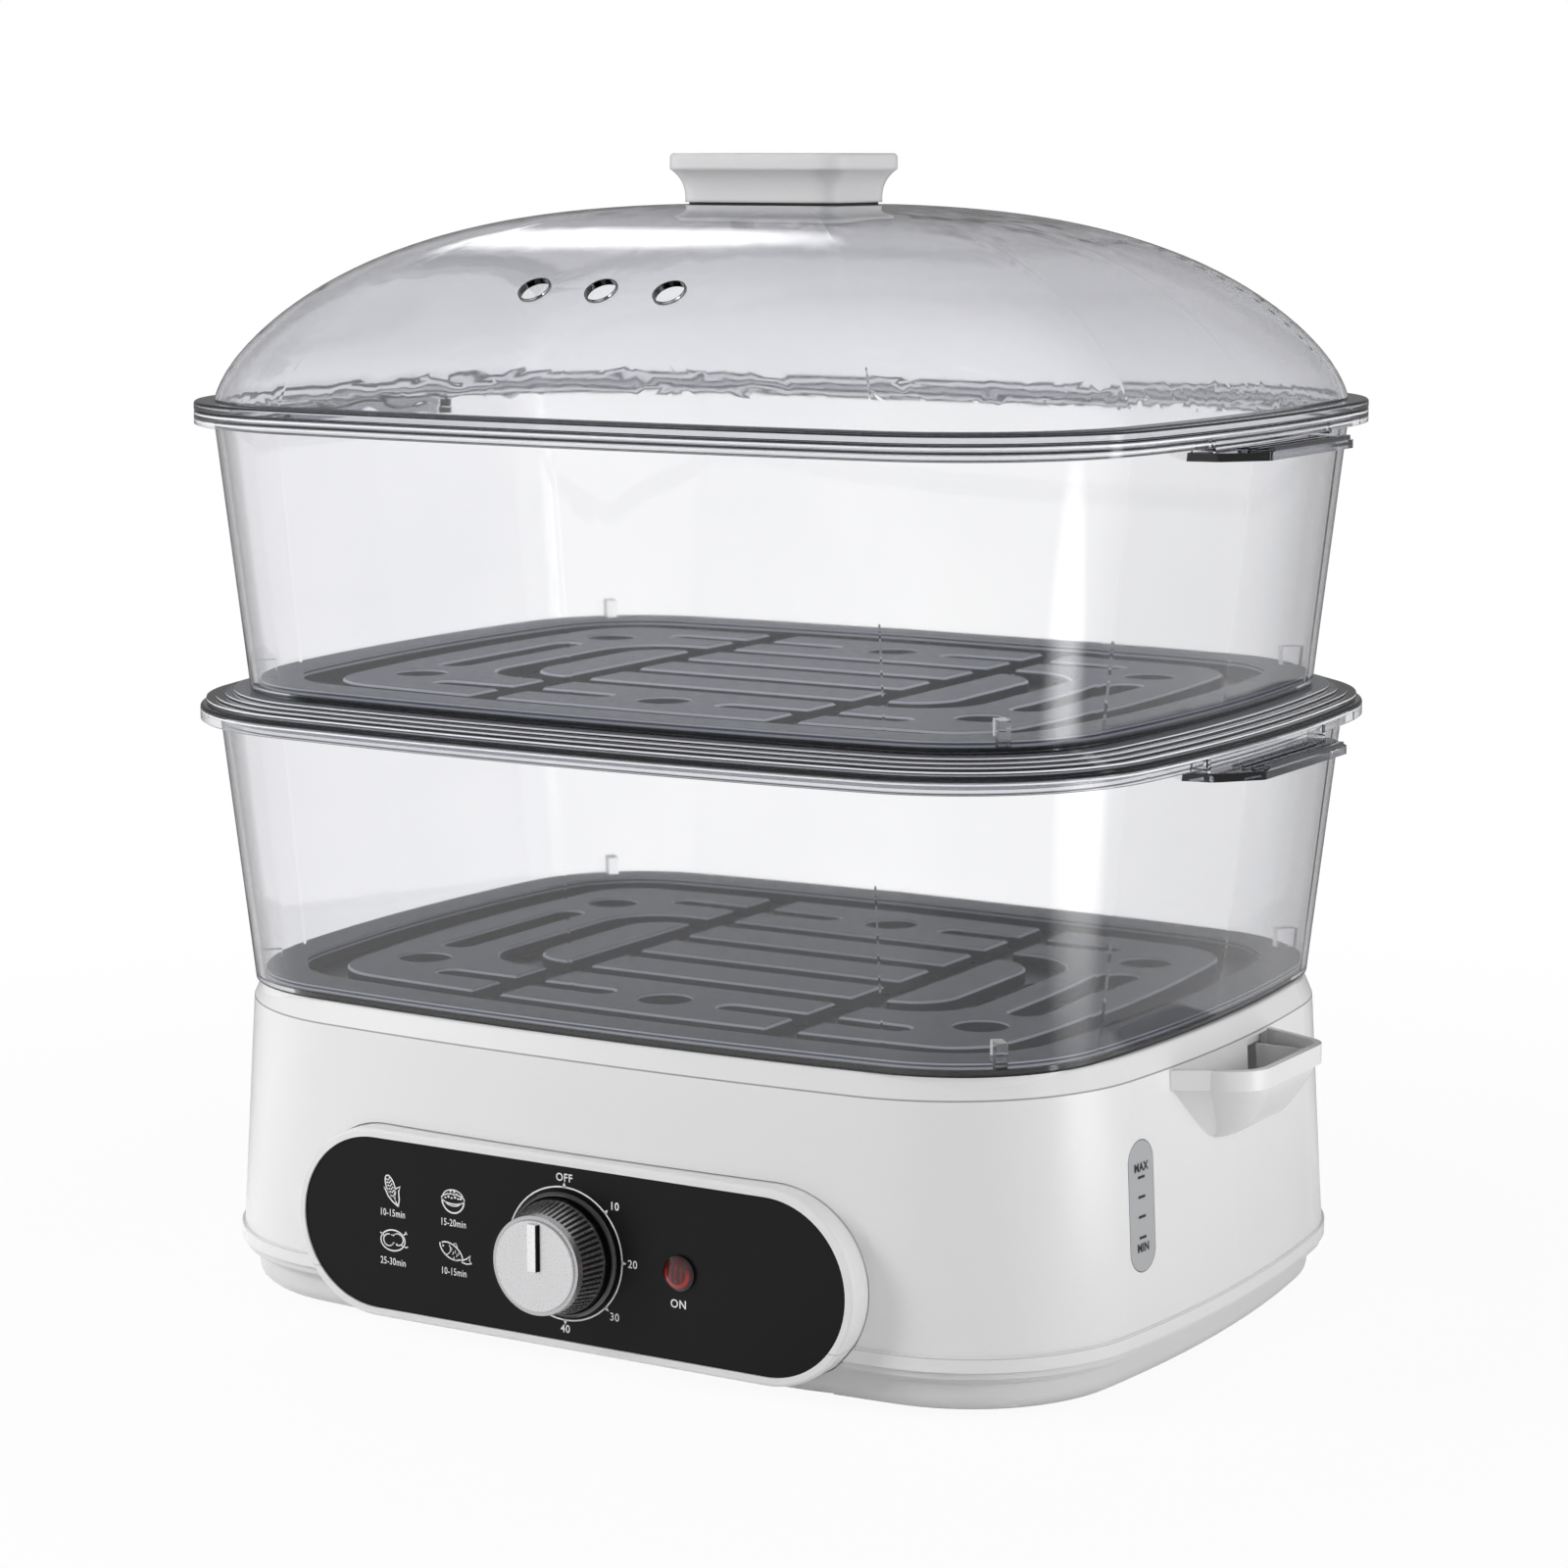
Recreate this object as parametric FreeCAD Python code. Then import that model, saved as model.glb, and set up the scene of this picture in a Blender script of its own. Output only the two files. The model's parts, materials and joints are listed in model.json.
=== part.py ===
import FreeCAD, Part
import math
import os

V = FreeCAD.Vector

# Electric food steamer, millimetres, +Z up.
# Origin: middle of the whole steamer from knob to back rim, on the surface that the feet stand on.
# The shapes are built about the middle of the tiers and moved there at the end.
# -Y is the front with the timer knob, +X the side with the water level window.

# ---------------------------------------------------------------- driving sizes
# Outline of the bowl rims: a rounded rectangle whose four sides bow outwards
rim_half_width = 175.0
rim_half_depth = 141.0
rim_side_bow = 16.9
rim_end_bow = 12.4
rim_corner = 69.5

# Base housing, at its foot and at its seam with the tank, each set in from the rims
foot_inset_side = 7.5
foot_inset_end = 14.5
foot_side_bow = 15.5
foot_end_bow = 10.0
foot_corner = 60.0
seam_inset_side = 11.5
seam_inset_end = 13.5
seam_side_bow = 15.5
seam_end_bow = 11.0
seam_corner = 68.0

# Heights of the stack
foot_height = 2.5
pan_height = 14.1
shell_height = 81.4
band_height = 7.0
bowl_height = 91.0
ring_height = 4.7
dome_height = 62.7
handle_height = 15.6

# Walls
shell_wall = 2.5
tank_wall = 2.5
bowl_wall = 2.2
tray_wall = 2.0
lid_wall = 2.2

# Running and seating clearances
slip_gap = 0.3
loose_gap = 1.0
seat_gap = 0.05

# Building allowances: joined pieces run into each other, and cutters run past a face
bite = 0.5
past = 1.0

# ------------------------------------------------------------------- housing
pan_inset = 5.0
pan_edge_radius = 5.0
bead_height = 4.6
bead_proud = 0.7
band_lean = 3.0
post_radius = 5.0
post_inset = 12.5
post_height = 18.0
post_web = 2.4
pan_screw_radius = 1.9
pan_screw_head_radius = 3.6
pan_screw_head_height = 2.4
pan_screw_length = 26.0
pan_lip_drop = 4.0
pan_collar_inset = 0.6
pan_collar_drop = 2.4
pan_post_wall = 1.5
pilot_end = 3.0
head_sink = 1.5
head_gap = 0.4
recess_share = 0.6
recess_half_width = 0.4
pan_slot_count = 7
pan_slot_pitch = 12.0
pan_slot_half_width = 2.0
pan_slot_length = 32.0
pan_slot_inset = 54.5
tank_boss_inset_x = 43.0
tank_boss_inset_y = 48.0
tank_boss_z = 22.0
tank_screw_length = 28.0

# Rubber feet
foot_radius = 9.0
foot_stem_radius = 3.0
foot_inset_x = 49.5
foot_inset_y = 48.5
foot_recess = 1.0
foot_edge_radius = 0.8
foot_pad_rise = 2.5
foot_pad_wall = 2.5
foot_head_rise = 1.5
foot_head_overhang = 1.2

# ------------------------------------------------------------------- tank
basin_side_gap = 25.5
basin_front_gap = 33.5
basin_back_gap = 15.5
basin_bow = 3.0
basin_corner = 30.0
basin_floor_z = 38.0
basin_shoulder_z = 80.0
neck_inset = 20.0
neck_depth = 8.0
ledge_width = 6.0
band_edge_radius = 1.2
lip_thickness = 1.8
lip_drop = 3.0
lip_half_span = 112.0
notch_side_gap = 20.0
notch_back_gap = 5.5

# Filling spouts on both sides
spout_overhang = 12.0
spout_front = -36.0
spout_back = 31.0
spout_rim_drop = 0.7
spout_band = 6.3
spout_depth = 26.5
spout_wall = 2.2
spout_root_depth = 13.5
spout_front_corner = 14.0
spout_back_corner = 9.0
spout_slant = 25.0
spout_flare = 6.0
spout_lean = 20.0
spout_step = 1.6
spout_rib_y = 19.5
spout_rib = 1.6
spout_rib_drop = 3.4
port_front = 11.5
port_back = 28.0
port_sill_z = 78.0
port_head_drop = 4.0
duct_wall = 1.8
duct_root = 14.0

# Water level window, +X side
window_y = -60.0
window_z = 59.0
window_width = 13.5
window_height = 40.4
window_flange = 3.0
window_flange_thickness = 1.6
gasket_thickness = 1.5

# ------------------------------------------------------------------- control panel
panel_z = 38.0
panel_half_length = 100.0
panel_half_height = 27.8
panel_rim = 2.8
panel_proud = 4.5
panel_edge_radius = 1.1
panel_frame = 1.6
panel_depth = 16.0
panel_back = 2.6
fascia_thickness = 1.2
fascia_sink = 0.6
ear_x = 75.0
ear_rise = 5.5
ear_radius = 4.5
ear_hole_depth = 4.5
bezel_screw_radius = 1.4
bezel_screw_length = 6.5
collar_wall = 3.0
lamp_x = 42.0
lamp_radius = 5.5
lamp_step = 1.0
lens_sphere = 9.0
lens_proud = 0.4
lens_barrel_wall = 1.0
lens_barrel_reach = 4.0
lamp_glass_radius = 2.4
lamp_collar_length = 4.0
lamp_lead_length = 5.0
lamp_lead_radius = 0.5
lamp_lead_pitch = 3.0

# Timer and knob
shaft_radius = 3.0
shaft_flat = 2.2
bush_radius = 5.0
timer_half_width = 22.0
timer_half_height = 19.0
timer_depth = 28.0
timer_edge_radius = 2.0
timer_ear = 4.5
timer_ear_end = 4.0
timer_ear_half_height = 5.0
timer_ear_thickness = 1.2
timer_screw_length = 4.0
tab_x = 8.0
tab_half_width = 3.2
tab_thickness = 0.8
tab_back_gap = 5.2
tab_drop = 7.0
shaft_stop = 8.0
bell_radius = 15.0
bell_depth = 9.0
bell_wall = 1.0
bell_stand = 1.5
bell_edge_radius = 3.0
bell_stud_radius = 2.0
knob_base_radius = 18.6
knob_face_radius = 15.6
knob_length = 15.0
knob_gap = 0.5
cap_seat = 1.2
cap_proud = 0.8
cap_edge = 1.2
pointer_width = 3.2
pointer_rise = 1.2
knob_bore_depth = 11.0
knob_wall = 4.5
knob_front_wall = 5.0
knob_hub_wall = 3.0
knob_rib_count = 60
knob_rib_radius = 0.55
knob_rib_start = 2.2
knob_rib_share = 0.62
cap_edge_radius = 0.6
pointer_back = 1.5
pointer_end_gap = 1.0

# ------------------------------------------------------------------- heater
heater_hole = 34.0
heater_seal = 2.0
plate_radius = 43.0
plate_thickness = 1.5
clamp_thickness = 2.0
clamp_screw_circle = 38.5
clamp_screw_radius = 2.0
clamp_screw_head_radius = 3.6
clamp_screw_head_height = 2.2
clamp_screw_tip = 5.0
clamp_nut_radius = 4.0
clamp_nut_height = 3.2
strap_half_width = 6.0
strap_thickness = 1.2
element_radius = 30.0
tube_radius = 3.3
element_z = 54.0
leg_angle = 14.0
leg_end_z = 27.0
pin_radius = 1.4
pin_end_z = 20.0
guide_radius = 52.0
guide_height = 30.0
guide_wall = 2.2
guide_collar_height = 2.0
guide_collar_reach = 4.0
guide_arch = 9.0
thermostat_radius = 8.0
thermostat_flange = 1.2
thermostat_flange_width = 3.0
thermostat_stem_radius = 3.6
thermostat_stem_length = 4.0

# Mains parts on the pan floor
gland_x = 95.0
gland_rise = 4.7
gland_radius = 4.2
gland_flange = 1.4
gland_proud = 2.2
gland_flange_thickness = 1.5
gland_depth = 8.0
cord_radius = 3.0
saddle_back = 24.0
saddle_width = 8.0
saddle_half_length = 13.0
saddle_thickness = 3.0
saddle_screw_x = 9.5
saddle_screw_radius = 1.5
saddle_wall = 2.2
terminal_x = 52.0
terminal_inset_y = 56.5
terminal_pitch = 10.0
terminal_half_length = 16.0
terminal_half_width = 9.0
terminal_height = 11.0
terminal_way_radius = 1.9
terminal_way_depth = 6.0
terminal_screw_radius = 2.0
terminal_screw_sink = 3.0
terminal_screw_height = 2.2

# Internal wires
wire_radius = 1.3
wire_bend = 3.2
wire_rise = 5.0
lamp_wire_radius = 0.8
lamp_wire_bend = 2.0

# ------------------------------------------------------------------- bowls
bowl_foot_inset = 16.35
bowl_top_inset = 6.0
rim_skirt = 4.7
rim_plate = 2.2
bowl_ledge_inset = 29.0
bowl_ledge = 2.0
skirt_depth = 5.0
skirt_wall = 2.0
grip_half_length = 46.0
grip_end_half_length = 31.0
grip_overhang = 12.0
grip_corner_radius = 4.0
grip_rib_count = 3
grip_rib_pitch = 3.2
grip_rib_half_width = 0.6
grip_rib_rise = 0.8
grip_slant = 11.0
grip_web_inset = 3.0
grip_web = 1.8
grip_thickness = 2.6
grip_drop = 1.4
grip_lip = 1.6
key_width = 3.6
key_reach = 6.0
key_height = 8.5

# Stacking ring between the tiers
ring_edge_inset = 2.0
ring_opening_inset = 20.0
ring_plate = 2.0
ring_step = 0.9
ring_steps = 3
ring_step_width = 3.0
ring_rib = 2.0
ring_rib_depth = 4.0

# ------------------------------------------------------------------- trays
tray_rim_inset = 31.0
gutter_inset = 33.0
plateau_inset = 47.0
gutter_depth = 7.5
plateau_top = 2.8
island_chamfer = 0.8
channel_x = 55.0
channel_width = 11.0
bar_pitch = 30.0
bar_groove = 10.0
bridge_width = 1.6
bridge_pitch = 24.42
side_groove_inset_y = 22.0
side_groove_width = 9.0
side_groove_start = 20.0
side_groove_inset_x = 40.0
bend_inset_x = 38.0
bend_inset_y = 44.0
bend_width = 12.0
bend_corner = 22.0
bend_slot_half_length = 28.0
slot_inset_x = 20.0
slot_half_length = 38.0
slot_width = 11.0
corner_hole_inset_x = 23.2
corner_hole_inset_y = 37.0
middle_hole_inset_y = 21.4
steam_hole_radius = 9.0
groove_margin = 1.8
slots_per_bar = 4

# Drip tray under the lower bowl
drip_gap = 0.6
drip_flange = 1.8
drip_depth = 12.0
drip_wall = 1.8
drip_slope_inset = 20.0
chimney_x = 62.0
chimney_radius = 17.0
chimney_rise = 8.0
drip_grip_width = 26.0
drip_grip_depth = 1.0

# ------------------------------------------------------------------- lid
lid_flange = 2.6
dome_inset = 6.5
dome_sections = 9
dome_height_power = 1.4346
dome_plan_power = 2.909
dome_cap_share = 0.21
vent_radius = 4.9
vent_pitch = 24.4
vent_y = -106.7
vent_x = -0.7
vent_tilt = 40.0
handle_half_width = 33.0
handle_half_depth = 23.0
handle_corner = 9.0
handle_plate_height = 5.0
neck_half_width = 29.0
neck_half_depth = 19.0
neck_corner = 7.5
handle_wall = 2.4
handle_seal = 0.8
clamp_plate = 2.0
handle_screw_x = 15.5
handle_screw_radius = 2.0
handle_boss_radius = 4.4
handle_screw_head = 3.8
handle_screw_head_height = 2.2
handle_screw_tip = 8.0
handle_top_wall = 3.9
handle_edge_radius = 1.4
lid_edge_radius = 0.9
lid_rib_depth = 3.0

# ------------------------------------------------------------------- derived places
seam_half_width = rim_half_width - seam_inset_side
seam_half_depth = rim_half_depth - seam_inset_end
foot_half_width = rim_half_width - foot_inset_side
foot_half_depth = rim_half_depth - foot_inset_end
foot_x = foot_half_width - foot_inset_x
foot_y = foot_half_depth - foot_inset_y
basin_half_width = seam_half_width - basin_side_gap
basin_half_depth = seam_half_depth - (basin_front_gap + basin_back_gap) / 2
basin_y = (basin_front_gap - basin_back_gap) / 2
tank_boss_x = basin_half_width - tank_boss_inset_x
tank_boss_y = basin_half_depth - tank_boss_inset_y
spout_reach = rim_half_width + spout_overhang
spout_root = seam_half_width - spout_root_depth
grip_reach = rim_half_width + grip_overhang
terminal_y = foot_half_depth - terminal_inset_y
plateau_half_width = rim_half_width - plateau_inset
plateau_half_depth = rim_half_depth - plateau_inset
panel_face_y = -seam_half_depth - panel_proud

# ------------------------------------------------------------------- derived levels
belt_z = foot_height + pan_height
seam_z = belt_z + shell_height
seat_z = seam_z + band_height
tier_pitch = bowl_height + ring_height
upper_seat_z = seat_z + tier_pitch
lid_seat_z = upper_seat_z + bowl_height
dome_z = lid_seat_z + lid_flange
panel_back_y = panel_face_y + panel_depth
pan_floor_z = foot_height + shell_wall
gland_z = pan_floor_z + gland_rise
ear_z = panel_z + panel_half_height + panel_rim + ear_rise
timer_screw_x = timer_half_width + timer_ear
timer_back_y = panel_back_y + timer_depth
bell_back_y = timer_back_y + bell_stand + bell_depth
notch_y = bell_back_y + notch_back_gap
notch_half_width = lamp_x + notch_side_gap
fascia_back_y = panel_face_y + fascia_sink + fascia_thickness
knob_front_y = panel_face_y - knob_gap - knob_length
pointer_front_y = knob_front_y - cap_proud - pointer_rise
middle_y = (pointer_front_y + rim_half_depth) / 2


# ================================================================== helpers
def make_plan(half_width, half_depth, side_bow, end_bow, corner, shift_y=0.0):
    """Arc centres and radii of a bowed rounded rectangle, as a dictionary."""
    side_radius = (half_depth ** 2 + side_bow ** 2) / (2 * side_bow)
    end_radius = (half_width ** 2 + end_bow ** 2) / (2 * end_bow)
    side_x = half_width - side_radius
    end_y = half_depth - end_radius
    reach_side = side_radius - corner
    reach_end = end_radius - corner
    span = math.hypot(side_x, end_y)
    along = (reach_side ** 2 - reach_end ** 2 + span ** 2) / (2 * span)
    across = math.sqrt(reach_side ** 2 - along ** 2)
    unit_x = -side_x / span
    unit_y = end_y / span
    corner_x = side_x + unit_x * along - unit_y * across
    corner_y = unit_y * along + unit_x * across
    if corner_x < 0 or corner_y < 0:
        corner_x = side_x + unit_x * along + unit_y * across
        corner_y = unit_y * along - unit_x * across
    return {"side_radius": side_radius, "end_radius": end_radius, "corner": corner,
            "side_x": side_x, "end_y": end_y, "corner_x": corner_x, "corner_y": corner_y,
            "side_angle": math.atan2(corner_y, corner_x - side_x),
            "end_angle": math.atan2(corner_y - end_y, corner_x), "shift_y": shift_y}


def arc_through(centre, radius, angle_from, angle_to, z):
    points = []
    for share in (0.0, 0.5, 1.0):
        angle = angle_from + (angle_to - angle_from) * share
        points.append(V(centre[0] + radius * math.cos(angle), centre[1] + radius * math.sin(angle), z))
    return Part.Arc(*points).toShape()


def outline(plan, inset, z):
    """Closed wire of a plan, drawn in by inset, at height z."""
    quarter = math.pi / 2
    edges = []
    for turn in range(4):
        flip_x = -1 if turn in (1, 2) else 1
        flip_y = -1 if turn in (2, 3) else 1
        corner = (flip_x * plan["corner_x"], flip_y * plan["corner_y"] + plan["shift_y"])
        side = (flip_x * plan["side_x"], plan["shift_y"])
        end = (0.0, flip_y * plan["end_y"] + plan["shift_y"])
        side_angle = plan["side_angle"] if flip_x == 1 else math.pi - plan["side_angle"]
        end_angle = plan["end_angle"] if flip_x == 1 else math.pi - plan["end_angle"]
        if flip_y == -1:
            side_angle = -side_angle
            end_angle = -end_angle
        middle = math.pi if flip_x == -1 else 0.0
        if flip_x == -1 and flip_y == -1:
            middle = -math.pi
        top = quarter * flip_y
        pieces = [(side, plan["side_radius"] - inset, middle, side_angle),
                  (corner, plan["corner"] - inset, side_angle, end_angle),
                  (end, plan["end_radius"] - inset, end_angle, top)]
        if turn in (1, 3):
            pieces = [(c, r, b, a) for c, r, a, b in reversed(pieces)]
        edges += [arc_through(c, r, a, b, z) for c, r, a, b in pieces]
    return Part.Wire(edges)


def slab(plan, inset, z_from, z_to):
    """Upright solid of a plan between two heights."""
    return Part.Face(outline(plan, inset, z_from)).extrude(V(0, 0, z_to - z_from))


def ring_slab(plan, inset_outer, inset_inner, z_from, z_to):
    return slab(plan, inset_outer, z_from, z_to).cut(slab(plan, inset_inner, z_from, z_to))


def taper(plan_from, inset_from, z_from, plan_to, inset_to, z_to):
    """Ruled solid between two plans at two heights."""
    wires = [outline(plan_from, inset_from, z_from), outline(plan_to, inset_to, z_to)]
    return Part.makeLoft(wires, True, True)


def block(x_from, x_to, y_from, y_to, z_from, z_to):
    return Part.makeBox(x_to - x_from, y_to - y_from, z_to - z_from, V(x_from, y_from, z_from))


def post(x, y, z_from, z_to, radius):
    return Part.makeCylinder(radius, z_to - z_from, V(x, y, z_from))


def rod_y(x, z, y_from, y_to, radius):
    """Cylinder along Y."""
    return Part.makeCylinder(radius, y_to - y_from, V(x, y_from, z), V(0, 1, 0))


def rounded_rectangle(half_x, half_y, corner, z, centre=(0.0, 0.0)):
    """Closed wire of a rounded rectangle at height z."""
    cx, cy = centre
    edges = []
    for step in range(4):
        sign_x = 1 if step in (0, 3) else -1
        sign_y = 1 if step in (0, 1) else -1
        start = step * math.pi / 2
        arc_centre = (cx + sign_x * (half_x - corner), cy + sign_y * (half_y - corner))
        edges.append(arc_through(arc_centre, corner, start, start + math.pi / 2, z))
    closed = []
    for index, edge in enumerate(edges):
        following = edges[(index + 1) % 4]
        closed.append(edge)
        closed.append(Part.makeLine(edge.Vertexes[-1].Point, following.Vertexes[0].Point))
    return Part.Wire(closed)


def rounded_block(half_x, half_y, corner, z_from, z_to, centre=(0.0, 0.0)):
    wire = rounded_rectangle(half_x, half_y, corner, z_from, centre)
    return Part.Face(wire).extrude(V(0, 0, z_to - z_from))


def slot_along(x_from, x_to, y_from, y_to, z_from, z_to):
    """Upright round-ended slot that fills a rectangle."""
    half_x = (x_to - x_from) / 2
    half_y = (y_to - y_from) / 2
    centre = ((x_from + x_to) / 2, (y_from + y_to) / 2)
    corner = min(half_x, half_y) * 0.98
    return rounded_block(half_x, half_y, corner, z_from, z_to, centre)


def stadium_y(half_length, half_height, y_from, y_to, z):
    """Stadium in the XZ plane, extruded along Y."""
    solid = rounded_block(half_length, half_height, half_height * 0.999, y_from, y_to)
    solid.rotate(V(0, 0, 0), V(1, 0, 0), 90)
    bounds = solid.BoundBox
    solid.translate(V(0, y_from - bounds.YMin, z))
    return solid


def stadium_x(half_width, half_height, x_from, x_to, y, z):
    """Stadium in the YZ plane, extruded along X."""
    solid = rounded_block(half_height, half_width, half_width * 0.999, x_from, x_to)
    solid.rotate(V(0, 0, 0), V(0, 1, 0), 90)
    bounds = solid.BoundBox
    solid.translate(V(x_from - bounds.XMin, y, z))
    return solid


def join(shapes):
    whole = shapes[0]
    if len(shapes) > 1:
        whole = whole.multiFuse(shapes[1:])
    return whole.removeSplitter()


def group(solids):
    return Part.makeCompound(solids)


def corner_point(plan, inset):
    """Point on the corner arc of a plan, along the diagonal of the corner."""
    angle = (plan["side_angle"] + plan["end_angle"]) / 2
    radius = plan["corner"] - inset
    x = plan["corner_x"] + radius * math.cos(angle)
    y = plan["corner_y"] + radius * math.sin(angle)
    return x, y, angle


def four_corners(x, y):
    return [(x, y), (-x, y), (-x, -y), (x, -y)]


def edges_at(shape, z, tolerance=0.01):
    found = []
    for edge in shape.Edges:
        bounds = edge.BoundBox
        if abs(bounds.ZMin - z) < tolerance and abs(bounds.ZMax - z) < tolerance:
            found.append(edge)
    return found


rim_plan = make_plan(rim_half_width, rim_half_depth, rim_side_bow, rim_end_bow, rim_corner)
foot_plan = make_plan(foot_half_width, foot_half_depth, foot_side_bow, foot_end_bow, foot_corner)
seam_plan = make_plan(seam_half_width, seam_half_depth, seam_side_bow, seam_end_bow, seam_corner)
basin_plan = make_plan(basin_half_width, basin_half_depth, basin_bow, basin_bow, basin_corner, basin_y)
post_x, post_y, post_angle = corner_point(foot_plan, post_inset)


def shell_space(inset, z_from=belt_z, z_to=seam_z):
    """The housing's own tapered outline, drawn in by inset."""
    return taper(foot_plan, inset, z_from, seam_plan, inset, z_to)


def panel_tunnel(gap):
    return stadium_y(panel_half_length + panel_rim + gap, panel_half_height + panel_rim + gap,
                     panel_face_y - 1, panel_back_y + 6, panel_z)


# ================================================================== housing
def arc_point(centre_x, centre_y, radius, turn, z):
    """Point on a circle, turn in degrees from +X."""
    angle = math.radians(turn)
    return V(centre_x + radius * math.cos(angle), centre_y + radius * math.sin(angle), z)


def spout_outline(front, back, reach, z):
    """Plan of one spout: flared where it leaves the wall, with two rounded outer corners."""
    root_x = seam_half_width - past
    width = reach - root_x
    slant = math.radians(spout_slant)
    front_corner = min(spout_front_corner, 0.6 * width)
    back_corner = min(spout_back_corner, 0.4 * width)
    front_x = reach - front_corner
    front_y = front + front_corner
    back_x = reach - back_corner
    run = back_x + back_corner * math.sin(slant) - root_x
    back_y = back - run * math.tan(slant) - back_corner * math.cos(slant)
    root = V(spout_root, front - spout_flare, z)
    front_arc = [arc_point(front_x, front_y, front_corner, turn, z) for turn in (-90, -45, 0)]
    last_turn = 90 - spout_slant
    back_arc = [arc_point(back_x, back_y, back_corner, turn, z) for turn in (0, last_turn / 2, last_turn)]
    edges = [Part.makeLine(root, V(root_x, front - spout_flare, z)),
             Part.makeLine(V(root_x, front - spout_flare, z), front_arc[0]),
             Part.Arc(*front_arc).toShape(),
             Part.makeLine(front_arc[2], back_arc[0]),
             Part.Arc(*back_arc).toShape(),
             Part.makeLine(back_arc[2], V(root_x, back, z)),
             Part.makeLine(V(root_x, back, z), V(spout_root, back, z)),
             Part.makeLine(V(spout_root, back, z), root)]
    return Part.Wire(edges)


def spout_body(inset):
    """Scoop of a filling spout, drawn in by inset all round, with an upright band on top."""
    top = seam_z - spout_rim_drop
    band = top - spout_band
    bottom = top - spout_depth
    near = seam_half_width + spout_step
    wires = []
    for share in (0.0, 0.12, 0.3, 0.6, 1.0):
        z = bottom + inset + (band - bottom - inset) * share
        reach = near + (spout_reach - spout_step - inset - near) * math.sqrt(share)
        front = spout_front + spout_step + inset + spout_lean * (1 - share)
        back = spout_back - spout_step / 2 - inset - spout_lean / 3 * (1 - share)
        wires.append(spout_outline(front, back, reach, z))
    scoop = Part.makeLoft(wires, True, False)
    above = past if inset else 0.0
    rim = Part.Face(spout_outline(spout_front + inset, spout_back - inset, spout_reach - inset, band))
    return scoop.fuse(rim.extrude(V(0, 0, top - band + above)))


def spout_rib_plate():
    """Upright rib across the spout, behind the front half of the port."""
    rib = block(seam_half_width - spout_rib, spout_reach, spout_rib_y, spout_rib_y + spout_rib,
                seam_z - spout_rim_drop - spout_depth, seam_z - spout_rim_drop - spout_rib_drop)
    return rib.common(spout_body(spout_wall / 2)).cut(shell_space(bite))


def mirrored(solid):
    return solid.mirror(V(0, 0, 0), V(1, 0, 0))


def corner_posts(plan, inset, z_from, z_to):
    """Screw posts in the four corners, each with a web out to the housing wall."""
    x, y, angle = corner_point(plan, inset)
    column = post(0, 0, z_from, z_to, post_radius)
    web = block(0, inset, -post_web / 2, post_web / 2, z_from, z_to)
    first = column.fuse(web)
    first.rotate(V(0, 0, 0), V(0, 0, 1), math.degrees(angle))
    first.translate(V(x, y, 0))
    second = mirrored(first)
    both = [first, second]
    both += [item.mirror(V(0, 0, 0), V(0, 1, 0)) for item in both]
    return both


def make_base_shell():
    """Tapered outer housing with both filling spouts, panel opening and window opening."""
    outer = shell_space(0)
    bead = ring_slab(foot_plan, -bead_proud, past, belt_z, belt_z + bead_height)
    inner = join([shell_space(shell_wall), slab(foot_plan, shell_wall, belt_z - 1, belt_z),
                  slab(seam_plan, shell_wall, seam_z, seam_z + 1)])
    outer = outer.fuse(bead)
    spout_outer = spout_body(0).cut(shell_space(shell_wall))
    body = join([outer.cut(inner), spout_outer, mirrored(spout_outer)])
    spout_top = seam_z - spout_rim_drop
    hollow = spout_body(spout_wall).cut(shell_space(0, belt_z, seam_z))
    port = block(spout_root, seam_half_width + spout_wall, port_front, port_back, port_sill_z,
                 spout_top - bite)
    hollow = hollow.fuse(port)
    posts = corner_posts(foot_plan, post_inset, belt_z, belt_z + post_height)
    limit = shell_space(shell_wall / 2)
    posts = [item.common(limit) for item in posts]
    ears = []
    for side in (-1, 1):
        boss = rod_y(side * ear_x, ear_z, panel_face_y, panel_back_y - panel_back, ear_radius)
        ears.append(boss.common(limit))
    body = join([body] + posts + ears)
    body = body.cut(hollow).cut(mirrored(hollow))
    rib = spout_rib_plate()
    body = join([body, rib, mirrored(rib)])
    body = body.cut(panel_tunnel(slip_gap))
    body = body.cut(window_prism(slip_gap, shell_half_space=True))
    for x, y in four_corners(post_x, post_y):
        body = body.cut(post(x, y, belt_z - past, belt_z + post_height - pilot_end, pan_screw_radius))
    for side in (-1, 1):
        body = body.cut(rod_y(side * ear_x, ear_z, panel_back_y - panel_back - ear_hole_depth,
                              panel_back_y + 1, bezel_screw_radius))
    return body


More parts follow.
